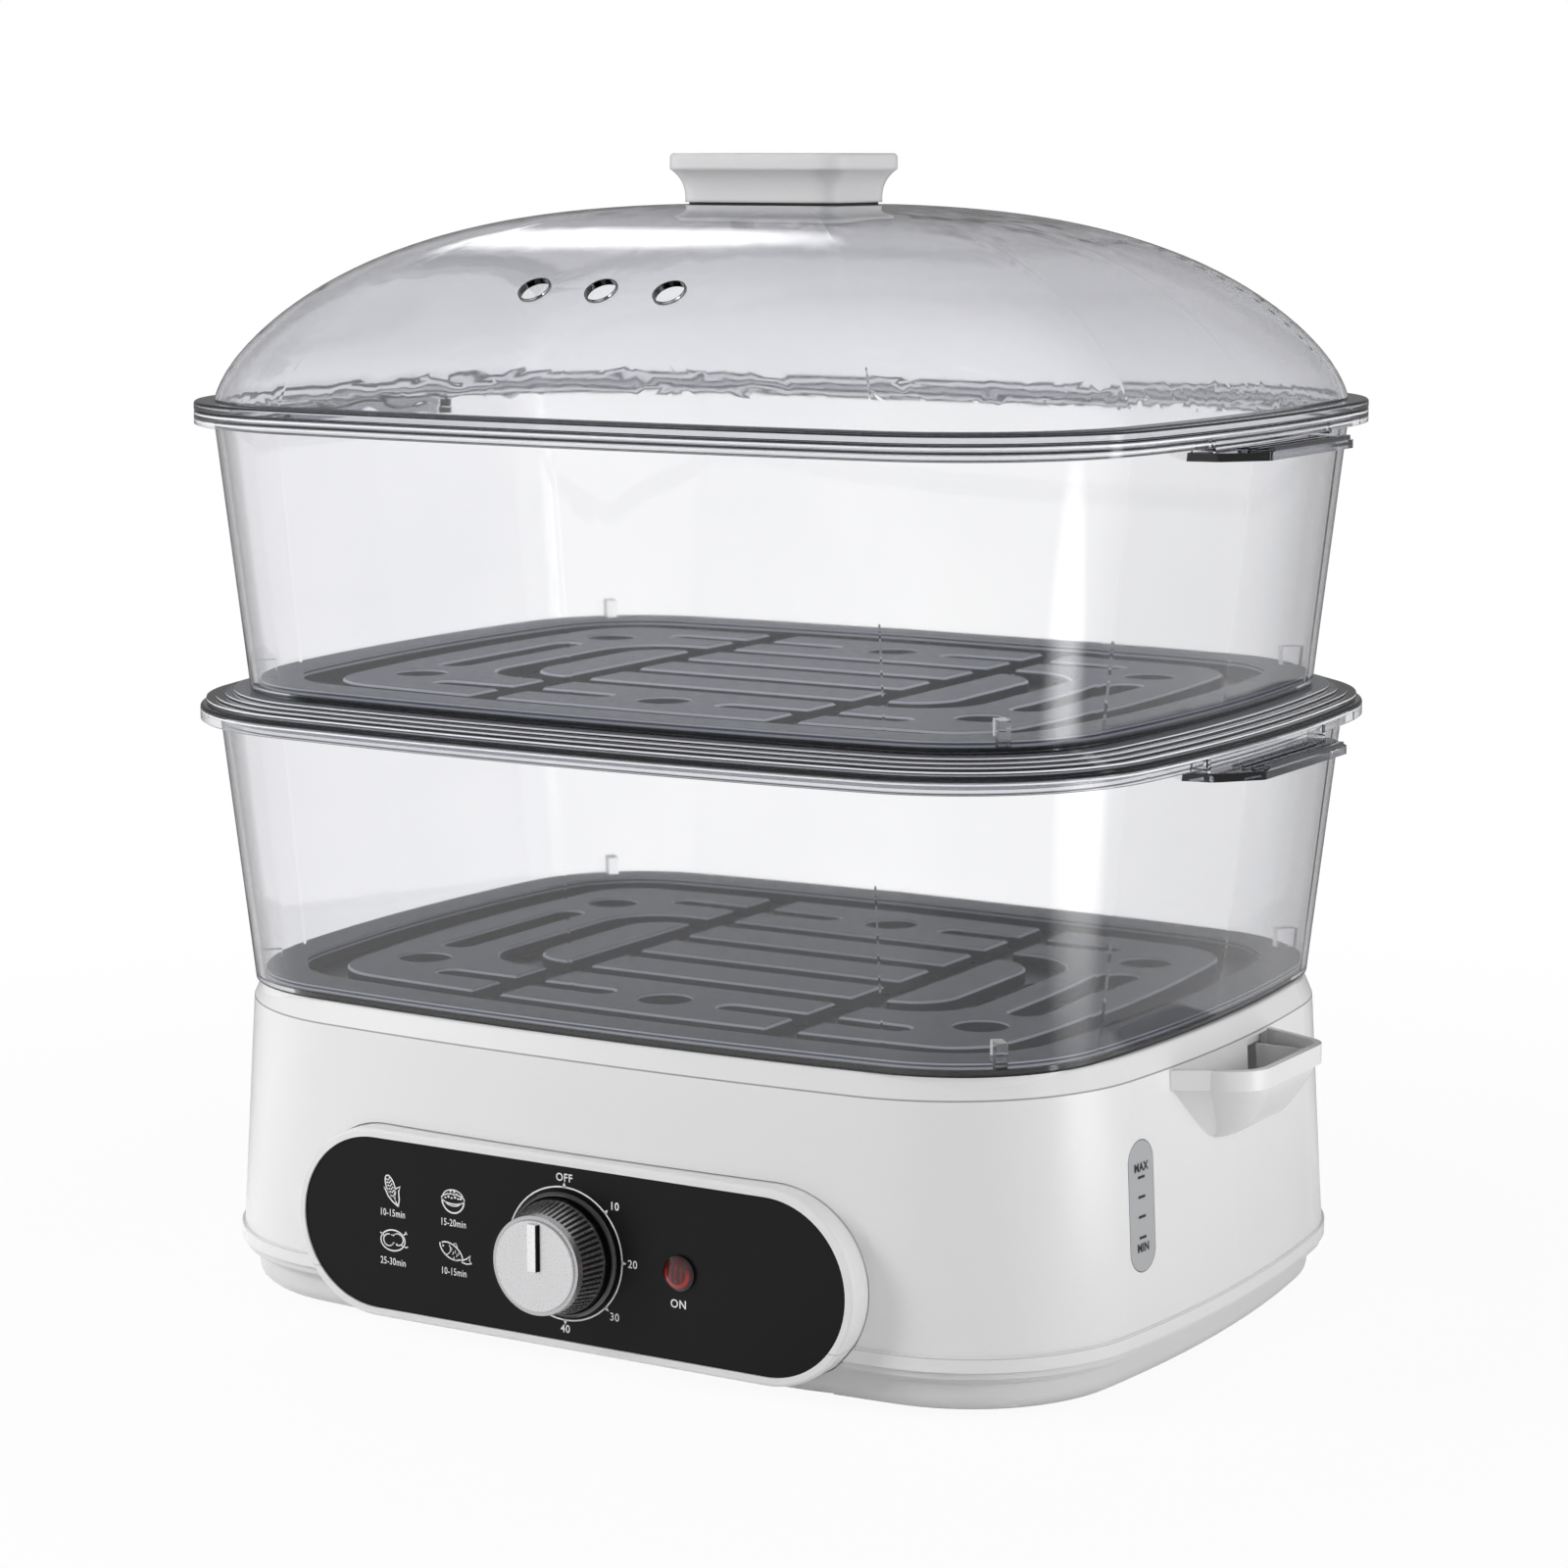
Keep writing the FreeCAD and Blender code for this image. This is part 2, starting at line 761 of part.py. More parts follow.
def make_base_pan():
    """Shallow bottom pan that the feet, the electrics and the housing screw to."""
    outer = slab(foot_plan, pan_inset, foot_height, belt_z)
    outer = outer.makeFillet(pan_edge_radius, edges_at(outer, foot_height))
    inner = slab(foot_plan, pan_inset + shell_wall, pan_floor_z, belt_z + 1)
    pan = outer.cut(inner)
    lip = ring_slab(foot_plan, shell_wall + slip_gap, pan_inset + shell_wall, belt_z - pan_lip_drop,
                    belt_z)
    collar = ring_slab(foot_plan, pan_collar_inset, pan_inset + shell_wall, belt_z - pan_collar_drop,
                       belt_z)
    pieces = [pan, lip, collar]
    for x, y in four_corners(post_x, post_y):
        pieces.append(post(x, y, pan_floor_z - past, belt_z, post_radius + pan_post_wall))
    for x, y in four_corners(tank_boss_x, tank_boss_y):
        pieces.append(post(x, y, pan_floor_z - past, tank_boss_z, post_radius + pan_post_wall))
    for x, y in four_corners(foot_x, foot_y):
        pieces.append(post(x, y, pan_floor_z - past, pan_floor_z + foot_pad_rise,
                           foot_stem_radius + foot_pad_wall))
    pan = join(pieces)
    pan = pan.common(slab(foot_plan, pan_collar_inset - 0.1, 0, tank_boss_z))
    for x, y in four_corners(post_x, post_y) + four_corners(tank_boss_x, tank_boss_y):
        pan = pan.cut(post(x, y, 0, tank_boss_z + past, pan_screw_radius + seat_gap))
        pan = pan.cut(post(x, y, 0, foot_height + pan_screw_head_height + head_sink,
                           pan_screw_head_radius + head_gap))
    for x, y in four_corners(foot_x, foot_y):
        pan = pan.cut(post(x, y, 0, foot_height + foot_recess, foot_radius + seat_gap))
        pan = pan.cut(post(x, y, 0, pan_floor_z + foot_pad_rise + past, foot_stem_radius + seat_gap))
    pan = pan.cut(panel_tunnel(slip_gap))
    y_wall = gland_wall_y()
    pan = pan.cut(rod_y(gland_x, gland_z, y_wall - gland_depth, y_wall + gland_depth,
                        gland_radius + seat_gap))
    pan = pan.cut(rod_y(gland_x, gland_z, y_wall + bite, y_wall + gland_depth,
                        gland_radius + gland_flange + slip_gap))
    slot_end = foot_half_depth - pan_slot_inset
    for index in range(pan_slot_count):
        x = pan_slot_pitch * (index - (pan_slot_count - 1) / 2)
        pan = pan.cut(slot_along(x - pan_slot_half_width, x + pan_slot_half_width,
                                 slot_end - pan_slot_length, slot_end, 0, pan_floor_z + past))
    return pan


def make_feet():
    feet = []
    for x, y in four_corners(foot_x, foot_y):
        disc = post(x, y, 0, foot_height + foot_recess, foot_radius)
        disc = disc.makeFillet(foot_edge_radius, edges_at(disc, 0))
        z_head = pan_floor_z + foot_pad_rise
        stem = post(x, y, bite, z_head + foot_head_rise, foot_stem_radius)
        head = post(x, y, z_head, z_head + foot_head_rise, foot_stem_radius + foot_head_overhang)
        feet.append(join([disc, stem, head]))
    return group(feet)


def screw_up(x, y, z_head, radius, length, head_radius, head_height):
    """Screw driven upwards, its head lowest, with a cross recess."""
    head = post(x, y, z_head, z_head + head_height, head_radius)
    head = head.makeFillet(head_height * 0.45, edges_at(head, z_head))
    shank = post(x, y, z_head + head_height / 2, z_head + length, radius)
    screw = join([head, shank])
    for turn in (0, 90):
        recess = block(-head_radius * recess_share, head_radius * recess_share, -recess_half_width,
                       recess_half_width, -past, head_height / 2)
        recess.rotate(V(0, 0, 0), V(0, 0, 1), turn)
        recess.translate(V(x, y, z_head))
        screw = screw.cut(recess)
    return screw


def make_pan_screws():
    z_head = foot_height + head_sink
    return group([screw_up(x, y, z_head, pan_screw_radius, pan_screw_length, pan_screw_head_radius,
                           pan_screw_head_height) for x, y in four_corners(post_x, post_y)])


def make_tank_screws():
    z_head = foot_height + head_sink
    return group([screw_up(x, y, z_head, pan_screw_radius, tank_screw_length, pan_screw_head_radius,
                           pan_screw_head_height) for x, y in four_corners(tank_boss_x, tank_boss_y)])


# ================================================================== tank and level window
def window_prism(gap, shell_half_space=False):
    x_from = seam_half_width - 24 if shell_half_space else spout_root
    return stadium_x(window_width / 2 + gap, window_height / 2 + gap, x_from, spout_reach + 5,
                     window_y, window_z)


def duct(y_from, y_to, z_from, z_to, gap):
    """Square duct from the basin wall out to just inside the housing."""
    outer = block(basin_half_width - duct_root + duct_wall, spout_reach, y_from - duct_wall, y_to + duct_wall,
                  z_from - duct_wall, z_to + duct_wall)
    return outer.common(shell_space(shell_wall + gap))


def make_water_tank():
    """White tank moulding: band and seat on top, neck, basin, and its side ducts."""
    band = taper(seam_plan, 0, seam_z, seam_plan, band_lean, seat_z)
    band = band.makeFillet(band_edge_radius, edges_at(band, seat_z))
    band_hollow = taper(seam_plan, tank_wall, seam_z - past, seam_plan, band_lean + tank_wall,
                        seat_z - tank_wall)
    neck_floor = seat_z - neck_depth
    neck_outer = slab(rim_plan, neck_inset - tank_wall, neck_floor - tank_wall, seat_z)
    shoulder_outer = taper(basin_plan, -tank_wall, basin_shoulder_z - tank_wall, rim_plan,
                           neck_inset + ledge_width - tank_wall, neck_floor - tank_wall + bite)
    below_band = slab(seam_plan, shell_wall + slip_gap, 0, seam_z)
    neck_outer = join([neck_outer.common(below_band), slab(rim_plan, neck_inset - tank_wall, seam_z, seat_z)])
    shoulder_outer = shoulder_outer.common(below_band)
    basin_outer = slab(basin_plan, -tank_wall, basin_floor_z - tank_wall, basin_shoulder_z - tank_wall)
    notch = block(-notch_half_width, notch_half_width, panel_face_y, notch_y, 0, basin_shoulder_z)
    basin_outer = basin_outer.cut(notch)
    window_duct = duct(window_y - window_width / 2, window_y + window_width / 2,
                       window_z - window_height / 2, window_z + window_height / 2,
                       window_flange_thickness + gasket_thickness)
    port_head_z = seam_z - spout_rim_drop - port_head_drop
    port_duct = duct(port_front, port_back, port_sill_z, port_head_z, slip_gap)
    lip = ring_slab(seam_plan, shell_wall + slip_gap, shell_wall + slip_gap + lip_thickness,
                    seam_z - lip_drop, seam_z + past)
    lip = lip.cut(block(-lip_half_span, lip_half_span, -rim_half_depth, rim_half_depth, 0, lid_seat_z))
    bosses = [post(x, y, tank_boss_z, basin_floor_z - past, post_radius)
              for x, y in four_corners(tank_boss_x, tank_boss_y)]
    outer = join([band.cut(band_hollow), neck_outer, shoulder_outer, basin_outer, window_duct,
                  port_duct, mirrored(port_duct), lip] + bosses)
    neck_inner = slab(rim_plan, neck_inset, neck_floor, seat_z + past)
    shoulder_inner = taper(basin_plan, 0, basin_shoulder_z, rim_plan, neck_inset + ledge_width,
                           neck_floor + bite)
    basin_inner = slab(basin_plan, 0, basin_floor_z, basin_shoulder_z)
    basin_inner = basin_inner.cut(block(-notch_half_width - tank_wall, notch_half_width + tank_wall,
                                        panel_face_y, notch_y + tank_wall, 0, basin_shoulder_z - bite))
    port_hole = block(basin_half_width - duct_root, spout_reach, port_front, port_back, port_sill_z,
                      port_head_z)
    window_hole = block(basin_half_width - duct_root, spout_reach, window_y - window_width / 2,
                        window_y + window_width / 2, window_z - window_height / 2,
                        window_z + window_height / 2)
    tank = outer.cut(join([neck_inner, shoulder_inner, basin_inner]))
    tank = tank.cut(port_hole).cut(mirrored(port_hole)).cut(window_hole)
    for x, y in four_corners(tank_boss_x, tank_boss_y):
        tank = tank.cut(post(x, y, tank_boss_z - past, basin_floor_z - tank_wall - past, pan_screw_radius))
    tank = tank.cut(post(0, 0, basin_floor_z - tank_wall - past, basin_floor_z + past, heater_hole))
    for x, y in clamp_points():
        tank = tank.cut(post(x, y, basin_floor_z - tank_wall - past, basin_floor_z + past,
                             clamp_screw_radius + seat_gap))
    return tank


def make_level_window():
    """Clear window flush with the housing, with a flange behind the wall."""
    plug = window_prism(0).common(shell_space(0).cut(shell_space(shell_wall)))
    flange = stadium_x(window_width / 2 + window_flange, window_height / 2 + window_flange, spout_root - 20,
                       spout_reach, window_y, window_z)
    flange = flange.common(shell_space(shell_wall).cut(
        shell_space(shell_wall + window_flange_thickness)))
    return join([plug, flange])


def make_window_gasket():
    inner_face = shell_wall + window_flange_thickness
    outer = stadium_x(window_width / 2 + window_flange, window_height / 2 + window_flange, spout_root - 20,
                      spout_reach, window_y, window_z)
    hole = stadium_x(window_width / 2, window_height / 2, spout_root - 21, spout_reach + 1, window_y, window_z)
    skin = shell_space(inner_face).cut(shell_space(inner_face + gasket_thickness))
    return outer.cut(hole).common(skin)


# ================================================================== control panel
def make_panel_bezel():
    """White frame of the control panel, put in from inside, with two screw ears above."""
    outer = stadium_y(panel_half_length + panel_rim, panel_half_height + panel_rim, panel_face_y,
                      panel_back_y, panel_z)
    front_edges = []
    for edge in outer.Edges:
        bounds = edge.BoundBox
        if abs(bounds.YMax - panel_face_y) < 0.01:
            front_edges.append(edge)
    outer = outer.makeFillet(panel_edge_radius, front_edges)
    pocket = stadium_y(panel_half_length, panel_half_height, panel_face_y - 1,
                       fascia_back_y, panel_z)
    hollow = stadium_y(panel_half_length - panel_frame, panel_half_height - panel_frame, panel_face_y,
                       panel_back_y - panel_back, panel_z)
    bezel = outer.cut(pocket).cut(hollow)
    ears = []
    for side in (-1, 1):
        x = side * ear_x
        y_from = panel_back_y - panel_back
        ear = rod_y(x, ear_z, y_from, panel_back_y, ear_radius)
        root = block(x - ear_radius, x + ear_radius, y_from, panel_back_y,
                     ear_z - ear_rise - panel_rim, ear_z)
        ears.append(ear)
        ears.append(root)
    bezel = join([bezel] + ears)
    collars = [rod_y(0, panel_z, fascia_back_y, panel_back_y, bush_radius + collar_wall),
               rod_y(lamp_x, panel_z, fascia_back_y, panel_back_y, lamp_radius - lamp_step + collar_wall)]
    bezel = join([bezel] + collars)
    bezel = bezel.cut(rod_y(0, panel_z, panel_face_y - 1, panel_back_y + 1, bush_radius + seat_gap))
    bezel = bezel.cut(rod_y(lamp_x, panel_z, panel_face_y - 1, panel_back_y + 1, lamp_radius - lamp_step))
    for side in (-1, 1):
        bezel = bezel.cut(rod_y(side * ear_x, ear_z, panel_back_y - panel_back - 1, panel_back_y + 1,
                                bezel_screw_radius + seat_gap))
        bezel = bezel.cut(rod_y(side * timer_screw_x, panel_z, panel_back_y - panel_back - 1,
                                panel_back_y + 1, bezel_screw_radius + seat_gap))
    return bezel


def make_panel_fascia():
    """Black printed plate in the bezel."""
    y_from = panel_face_y + fascia_sink
    plate = stadium_y(panel_half_length - seat_gap, panel_half_height - seat_gap, y_from,
                      y_from + fascia_thickness, panel_z)
    plate = plate.cut(rod_y(0, panel_z, y_from - 1, y_from + fascia_thickness + 1, bush_radius + seat_gap))
    return plate.cut(rod_y(lamp_x, panel_z, y_from - 1, y_from + fascia_thickness + 1,
                           lamp_radius + seat_gap))


def screw_y(x, z, y_head, length, radius, head_radius, head_height):
    """Screw driven towards -Y, its head at the back."""
    head = rod_y(x, z, y_head, y_head + head_height, head_radius)
    shank = rod_y(x, z, y_head - length, y_head + head_height / 2, radius)
    screw = join([head, shank])
    for turn in (0, 90):
        recess = block(-head_radius * 0.6, head_radius * 0.6, head_height * 0.5, head_height + 1, -0.3, 0.3)
        recess.rotate(V(0, 0, 0), V(0, 1, 0), turn)
        recess.translate(V(x, y_head, z))
        screw = screw.cut(recess)
    return screw


def make_bezel_screws():
    return group([screw_y(side * ear_x, ear_z, panel_back_y, bezel_screw_length, bezel_screw_radius, 2.8, 1.8)
                  for side in (-1, 1)])


def make_timer_case():
    """Clockwork timer with a front plate, a threaded bush and two fixing ears."""
    case = block(-timer_half_width, timer_half_width, panel_back_y, timer_back_y,
                 panel_z - timer_half_height, panel_z + timer_half_height)
    case = case.makeFillet(timer_edge_radius,
                           [e for e in case.Edges if e.BoundBox.YLength > timer_depth - 0.1])
    ear = block(-timer_screw_x - timer_ear_end, timer_screw_x + timer_ear_end, panel_back_y,
                panel_back_y + timer_ear_thickness, panel_z - timer_ear_half_height,
                panel_z + timer_ear_half_height)
    bush = rod_y(0, panel_z, panel_face_y + fascia_sink, panel_back_y + past, bush_radius)
    terminals = []
    tab_y = timer_back_y - tab_back_gap
    case_foot_z = panel_z - timer_half_height
    for side in (-1, 1):
        terminals.append(block(side * tab_x - tab_half_width, side * tab_x + tab_half_width,
                               tab_y - tab_thickness, tab_y, case_foot_z - tab_drop, case_foot_z + past))
    body = join([case, ear, bush] + terminals)
    body = body.cut(rod_y(0, panel_z, panel_face_y - 1, timer_back_y - shaft_stop,
                          shaft_radius + seat_gap))
    for side in (-1, 1):
        body = body.cut(rod_y(side * timer_screw_x, panel_z, panel_back_y - 1, panel_back_y + 2,
                              bezel_screw_radius + seat_gap))
    return body


def make_timer_screws():
    return group([screw_y(side * timer_screw_x, panel_z, panel_back_y + timer_ear_thickness,
                          timer_screw_length, bezel_screw_radius, 2.6, 1.6) for side in (-1, 1)])


def make_timer_bell():
    """Bell cup on the back of the timer, on its own stud."""
    mouth_y = timer_back_y + bell_stand
    cup = rod_y(0, panel_z, mouth_y, bell_back_y, bell_radius)
    cup = cup.makeFillet(bell_edge_radius, [e for e in cup.Edges if e.BoundBox.YMin > bell_back_y - 0.01])
    hollow = rod_y(0, panel_z, mouth_y - bite, bell_back_y - bell_wall, bell_radius - bell_wall)
    stud = rod_y(0, panel_z, timer_back_y, bell_back_y - bell_wall / 2, bell_stud_radius)
    return join([cup.cut(hollow), stud])


def make_timer_shaft():
    """D shaft from the clockwork out to the knob."""
    y_from = knob_front_y + knob_length - knob_bore_depth
    shaft = rod_y(0, panel_z, y_from, timer_back_y - shaft_stop - bite, shaft_radius)
    flat = block(-shaft_radius, shaft_radius, y_from - past, y_from + knob_bore_depth - past,
                 panel_z + shaft_flat, panel_z + shaft_radius + 1)
    return shaft.cut(flat)


def make_knob():
    """Ribbed knob skirt, a cone frustum with a seat for the bright cap."""
    front = knob_front_y
    body = Part.makeCone(knob_face_radius, knob_base_radius, knob_length, V(0, front, panel_z), V(0, 1, 0))
    body = body.cut(rod_y(0, panel_z, front - 1, front + cap_seat, knob_face_radius - cap_edge))
    hollow = rod_y(0, panel_z, front + knob_front_wall, front + knob_length + past,
                   knob_base_radius - knob_wall)
    hub = rod_y(0, panel_z, front + knob_front_wall - past, front + knob_length - past,
                shaft_radius + knob_hub_wall)
    bore = rod_y(0, panel_z, front + knob_length - knob_bore_depth, front + knob_length + 1,
                 shaft_radius + seat_gap)
    flat = block(-shaft_radius - 1, shaft_radius + 1, front, front + knob_length,
                 panel_z + shaft_flat + seat_gap, panel_z + shaft_radius + 2)
    bore = bore.cut(flat)
    body = join([body.cut(hollow), hub]).cut(bore)
    ribs = []
    slope = math.degrees(math.atan((knob_base_radius - knob_face_radius) / knob_length))
    for index in range(knob_rib_count):
        groove = Part.makeCylinder(knob_rib_radius, knob_length * knob_rib_share, V(0, 0, 0), V(0, 1, 0))
        groove.translate(V(0, front + knob_rib_start, knob_face_radius + knob_rib_radius))
        groove.rotate(V(0, front + knob_rib_start, knob_face_radius), V(1, 0, 0), slope)
        groove.rotate(V(0, 0, 0), V(0, 1, 0), index * 360.0 / knob_rib_count)
        groove.translate(V(0, 0, panel_z))
        ribs.append(groove)
    return body.cut(ribs)


def make_knob_cap():
    """Bright end cap with a raised pointer that reaches the edge at the top."""
    front = knob_front_y
    radius = knob_face_radius - cap_edge - seat_gap
    disc = rod_y(0, panel_z, front - cap_proud, front + cap_seat, radius)
    disc = disc.makeFillet(cap_edge_radius, [e for e in disc.Edges
                                             if e.BoundBox.YMax < front - cap_proud + 0.01])
    pointer = block(-pointer_width / 2, pointer_width / 2, pointer_front_y, front + bite,
                    panel_z - pointer_back, panel_z + radius - pointer_end_gap)
    return join([disc, pointer])


def make_indicator_lens():
    """Red jewel lens in the panel."""
    front = panel_face_y - lens_proud
    stem = rod_y(lamp_x, panel_z, front, fascia_back_y, lamp_radius)
    sphere_y = front + math.sqrt(lens_sphere ** 2 - lamp_radius ** 2)
    dome = Part.makeSphere(lens_sphere, V(lamp_x, sphere_y, panel_z))
    dome = dome.common(rod_y(lamp_x, panel_z, front - lens_sphere, front + 0.1, lamp_radius))
    barrel_radius = lamp_radius - lamp_step - slip_gap
    barrel = rod_y(lamp_x, panel_z, fascia_back_y - bite, panel_back_y + lens_barrel_reach, barrel_radius)
    hollow = rod_y(lamp_x, panel_z, fascia_back_y, panel_back_y + lens_barrel_reach + past,
                   barrel_radius - lens_barrel_wall + slip_gap)
    return join([stem, dome, barrel]).cut(hollow)


def make_indicator_lamp():
    """Neon lamp with its two leads, inside the lens barrel."""
    tip = fascia_back_y + 2 * lamp_step
    back = panel_back_y + lens_barrel_reach
    glass = rod_y(lamp_x, panel_z, tip, back + lamp_glass_radius, lamp_glass_radius)
    glass = glass.makeFillet(2.0, [e for e in glass.Edges if e.BoundBox.YMax < tip + 0.01])
    collar = rod_y(lamp_x, panel_z, back, back + lamp_collar_length, lamp_radius - lamp_step)
    leads = []
    for side in (-1, 1):
        leads.append(rod_y(lamp_x + side * lamp_lead_pitch / 2, panel_z, back + lamp_collar_length - bite,
                           back + lamp_collar_length + lamp_lead_length, lamp_lead_radius))
    return join([glass, collar] + leads)


# ================================================================== heater
def clamp_points():
    points = []
    for index in range(4):
        angle = math.radians(45 + 90 * index)
        points.append((clamp_screw_circle * math.cos(angle), clamp_screw_circle * math.sin(angle)))
    return points


def element_leg_points():
    angle = math.radians(leg_angle)
    x = element_radius * math.sin(angle)
    y = element_radius * math.cos(angle)
    return [(-x, y), (x, y)]


def make_heater_gasket():
    z_from = basin_floor_z
    ring = post(0, 0, z_from, z_from + heater_seal, plate_radius - 0.5)
    ring = ring.cut(post(0, 0, z_from - 1, z_from + heater_seal + 1, heater_hole))
    for x, y in clamp_points():
        ring = ring.cut(post(x, y, z_from - 1, z_from + heater_seal + 1, clamp_screw_radius + seat_gap))
    return ring


def make_heater_plate():
    """Stainless plate that carries the element and closes the floor opening."""
    z_from = basin_floor_z + heater_seal
    plate = post(0, 0, z_from, z_from + plate_thickness, plate_radius)
    for x, y in clamp_points():
        plate = plate.cut(post(x, y, z_from - 1, z_from + plate_thickness + 1, clamp_screw_radius + seat_gap))
    for x, y in element_leg_points():
        plate = plate.cut(post(x, y, z_from - 1, z_from + plate_thickness + 1, tube_radius + seat_gap))
    return plate


def make_heating_element():
    """Sheathed tubular element: an open ring with two legs down through the plate."""
    sweep = 360 - 2 * leg_angle
    ring = Part.makeTorus(element_radius, tube_radius, V(0, 0, 0), V(0, 0, 1), 0, 360, sweep)
    ring.rotate(V(0, 0, 0), V(0, 0, 1), 90 + leg_angle)
    ring.translate(V(0, 0, element_z))
    pieces = [ring]
    for x, y in element_leg_points():
        pieces.append(Part.makeSphere(tube_radius, V(x, y, element_z)))
        pieces.append(post(x, y, leg_end_z, element_z, tube_radius))
        pieces.append(post(x, y, pin_end_z, leg_end_z + 1, pin_radius))
    return join(pieces)


def make_clamp_ring():
    """Steel ring under the tank floor that the plate is pulled down to."""
    z_to = basin_floor_z - tank_wall
    ring = post(0, 0, z_to - clamp_thickness, z_to, plate_radius)
    ring = ring.cut(post(0, 0, z_to - clamp_thickness - 1, z_to + 1, heater_hole))
    strap = block(-strap_half_width, strap_half_width, -heater_hole - 2 * clamp_screw_radius,
                  heater_hole - thermostat_radius, z_to - clamp_thickness,
                  z_to - clamp_thickness + strap_thickness)
    strap = strap.cut(post(0, 0, 0, basin_floor_z, thermostat_stem_radius + head_gap))
    ring = join([ring, strap])
    for x, y in clamp_points():
        ring = ring.cut(post(x, y, z_to - clamp_thickness - 1, z_to + 1, clamp_screw_radius + seat_gap))
    return ring


def make_clamp_screws():
    """Four screws from above with nuts below, each one solid with its nut."""
    z_plate = basin_floor_z + heater_seal + plate_thickness
    z_nut = basin_floor_z - tank_wall - clamp_thickness
    screws = []
    for x, y in clamp_points():
        z_top = z_plate + clamp_screw_head_height
        head = post(x, y, z_plate, z_top, clamp_screw_head_radius)
        head = head.makeFillet(clamp_screw_head_height * 0.4, edges_at(head, z_top))
        shank = post(x, y, z_nut - clamp_screw_tip, z_plate + past, clamp_screw_radius)
        screws.append(join([head, shank]))
    return group(screws)


def make_clamp_nuts():
    z_nut = basin_floor_z - tank_wall - clamp_thickness
    nuts = []
    for x, y in clamp_points():
        corners = []
        for index in range(7):
            angle = math.radians(60 * index)
            corners.append(V(x + clamp_nut_radius * math.cos(angle), y + clamp_nut_radius * math.sin(angle),
                             z_nut - clamp_nut_height))
        nut = Part.Face(Part.makePolygon(corners)).extrude(V(0, 0, clamp_nut_height))
        nuts.append(nut.cut(post(x, y, z_nut - clamp_nut_height - past, z_nut + past,
                                 clamp_screw_radius + seat_gap)))
    return group(nuts)


def make_thermostat():
    """Dry-boil thermostat pressed against the underside of the heater plate."""
    z_to = basin_floor_z + heater_seal
    z_strap = basin_floor_z - tank_wall - clamp_thickness + strap_thickness
    body = post(0, 0, z_strap, z_to, thermostat_radius)
    flange = post(0, 0, z_to - thermostat_flange, z_to, thermostat_radius + thermostat_flange_width)
    stem = post(0, 0, z_strap - thermostat_stem_length, z_strap + past, thermostat_stem_radius)
    tabs = []
    for side in (-1, 1):
        tabs.append(block(side * 2.0 - 0.4, side * 2.0 + 0.4, -1.8, 1.8, z_strap - 10.0, z_strap - 3.0))
    return join([body, flange, stem] + tabs)


def make_steam_guide():
    """Loose plastic tube round the element, with arches that let water in."""
    outer = post(0, 0, basin_floor_z, basin_floor_z + guide_height, guide_radius + guide_wall)
    tube = outer.cut(post(0, 0, basin_floor_z - 1, basin_floor_z + guide_height + 1, guide_radius))
    collar = post(0, 0, basin_floor_z + guide_height - guide_collar_height, basin_floor_z + guide_height,
                  guide_radius + guide_wall + guide_collar_reach / 2)
    collar = collar.cut(post(0, 0, basin_floor_z, basin_floor_z + guide_height + past,
                             guide_radius - guide_collar_reach))
    guide = join([tube, collar])
    for turn in (0, 90):
        arch = Part.makeCylinder(guide_arch, 4 * guide_radius, V(0, -2 * guide_radius, 0), V(0, 1, 0))
        arch.rotate(V(0, 0, 0), V(0, 0, 1), turn)
        arch.translate(V(0, 0, basin_floor_z))
        guide = guide.cut(arch)
    return guide


# ================================================================== mains parts
def gland_wall_y():
    """Outer face of the pan's back wall at the cord gland."""
    plan = foot_plan
    radius = plan["end_radius"] - pan_inset
    return plan["end_y"] + math.sqrt(radius ** 2 - gland_x ** 2)


def make_cord_gland():
    """Rubber bush for the mains lead in the back wall of the pan."""
    y_wall = gland_wall_y()
    body = rod_y(gland_x, gland_z, y_wall - gland_depth, y_wall + gland_proud, gland_radius)
    collar = rod_y(gland_x, gland_z, y_wall + gland_proud - gland_flange_thickness, y_wall + gland_proud,
                   gland_radius + gland_flange)
    inner = rod_y(gland_x, gland_z, y_wall - gland_depth, y_wall - 0.7 * gland_depth,
                  gland_radius + gland_flange / 3)
    gland = join([body, collar, inner])
    return gland.cut(rod_y(gland_x, gland_z, y_wall - 20, y_wall + 20, cord_radius))


def make_cord_clamp():
    """Saddle that holds the mains lead behind the gland."""
    y_from = gland_wall_y() - saddle_back
    y_to = y_from + saddle_width
    saddle = block(gland_x - saddle_half_length, gland_x + saddle_half_length, y_from, y_to, pan_floor_z,
                   pan_floor_z + saddle_thickness)
    arch = rod_y(gland_x, gland_z, y_from, y_to, cord_radius + saddle_wall)
    arch = arch.common(block(gland_x - saddle_half_length, gland_x + saddle_half_length, y_from - past,
                             y_to + past, pan_floor_z, belt_z * 2))
    saddle = join([saddle, arch]).cut(rod_y(gland_x, gland_z, y_from - 1, y_to + 1, cord_radius))
    for side in (-1, 1):
        saddle = saddle.cut(post(gland_x + side * saddle_screw_x, y_from + saddle_width / 2, pan_floor_z - 1,
                                 pan_floor_z + saddle_thickness + 1, saddle_screw_radius + seat_gap))
    return saddle


def make_clamp_saddle_screws():
    y = gland_wall_y() - saddle_back + saddle_width / 2
    z_head = pan_floor_z + saddle_thickness
    screws = []
    for side in (-1, 1):
        x = gland_x + side * saddle_screw_x
        screws.append(join([post(x, y, z_head, z_head + 1.8, 2.8),
                            post(x, y, pan_floor_z, z_head + 1.0, saddle_screw_radius)]))
    return group(screws)


def terminal_ways():
    return [terminal_x + terminal_pitch * (index - 1) for index in range(3)]


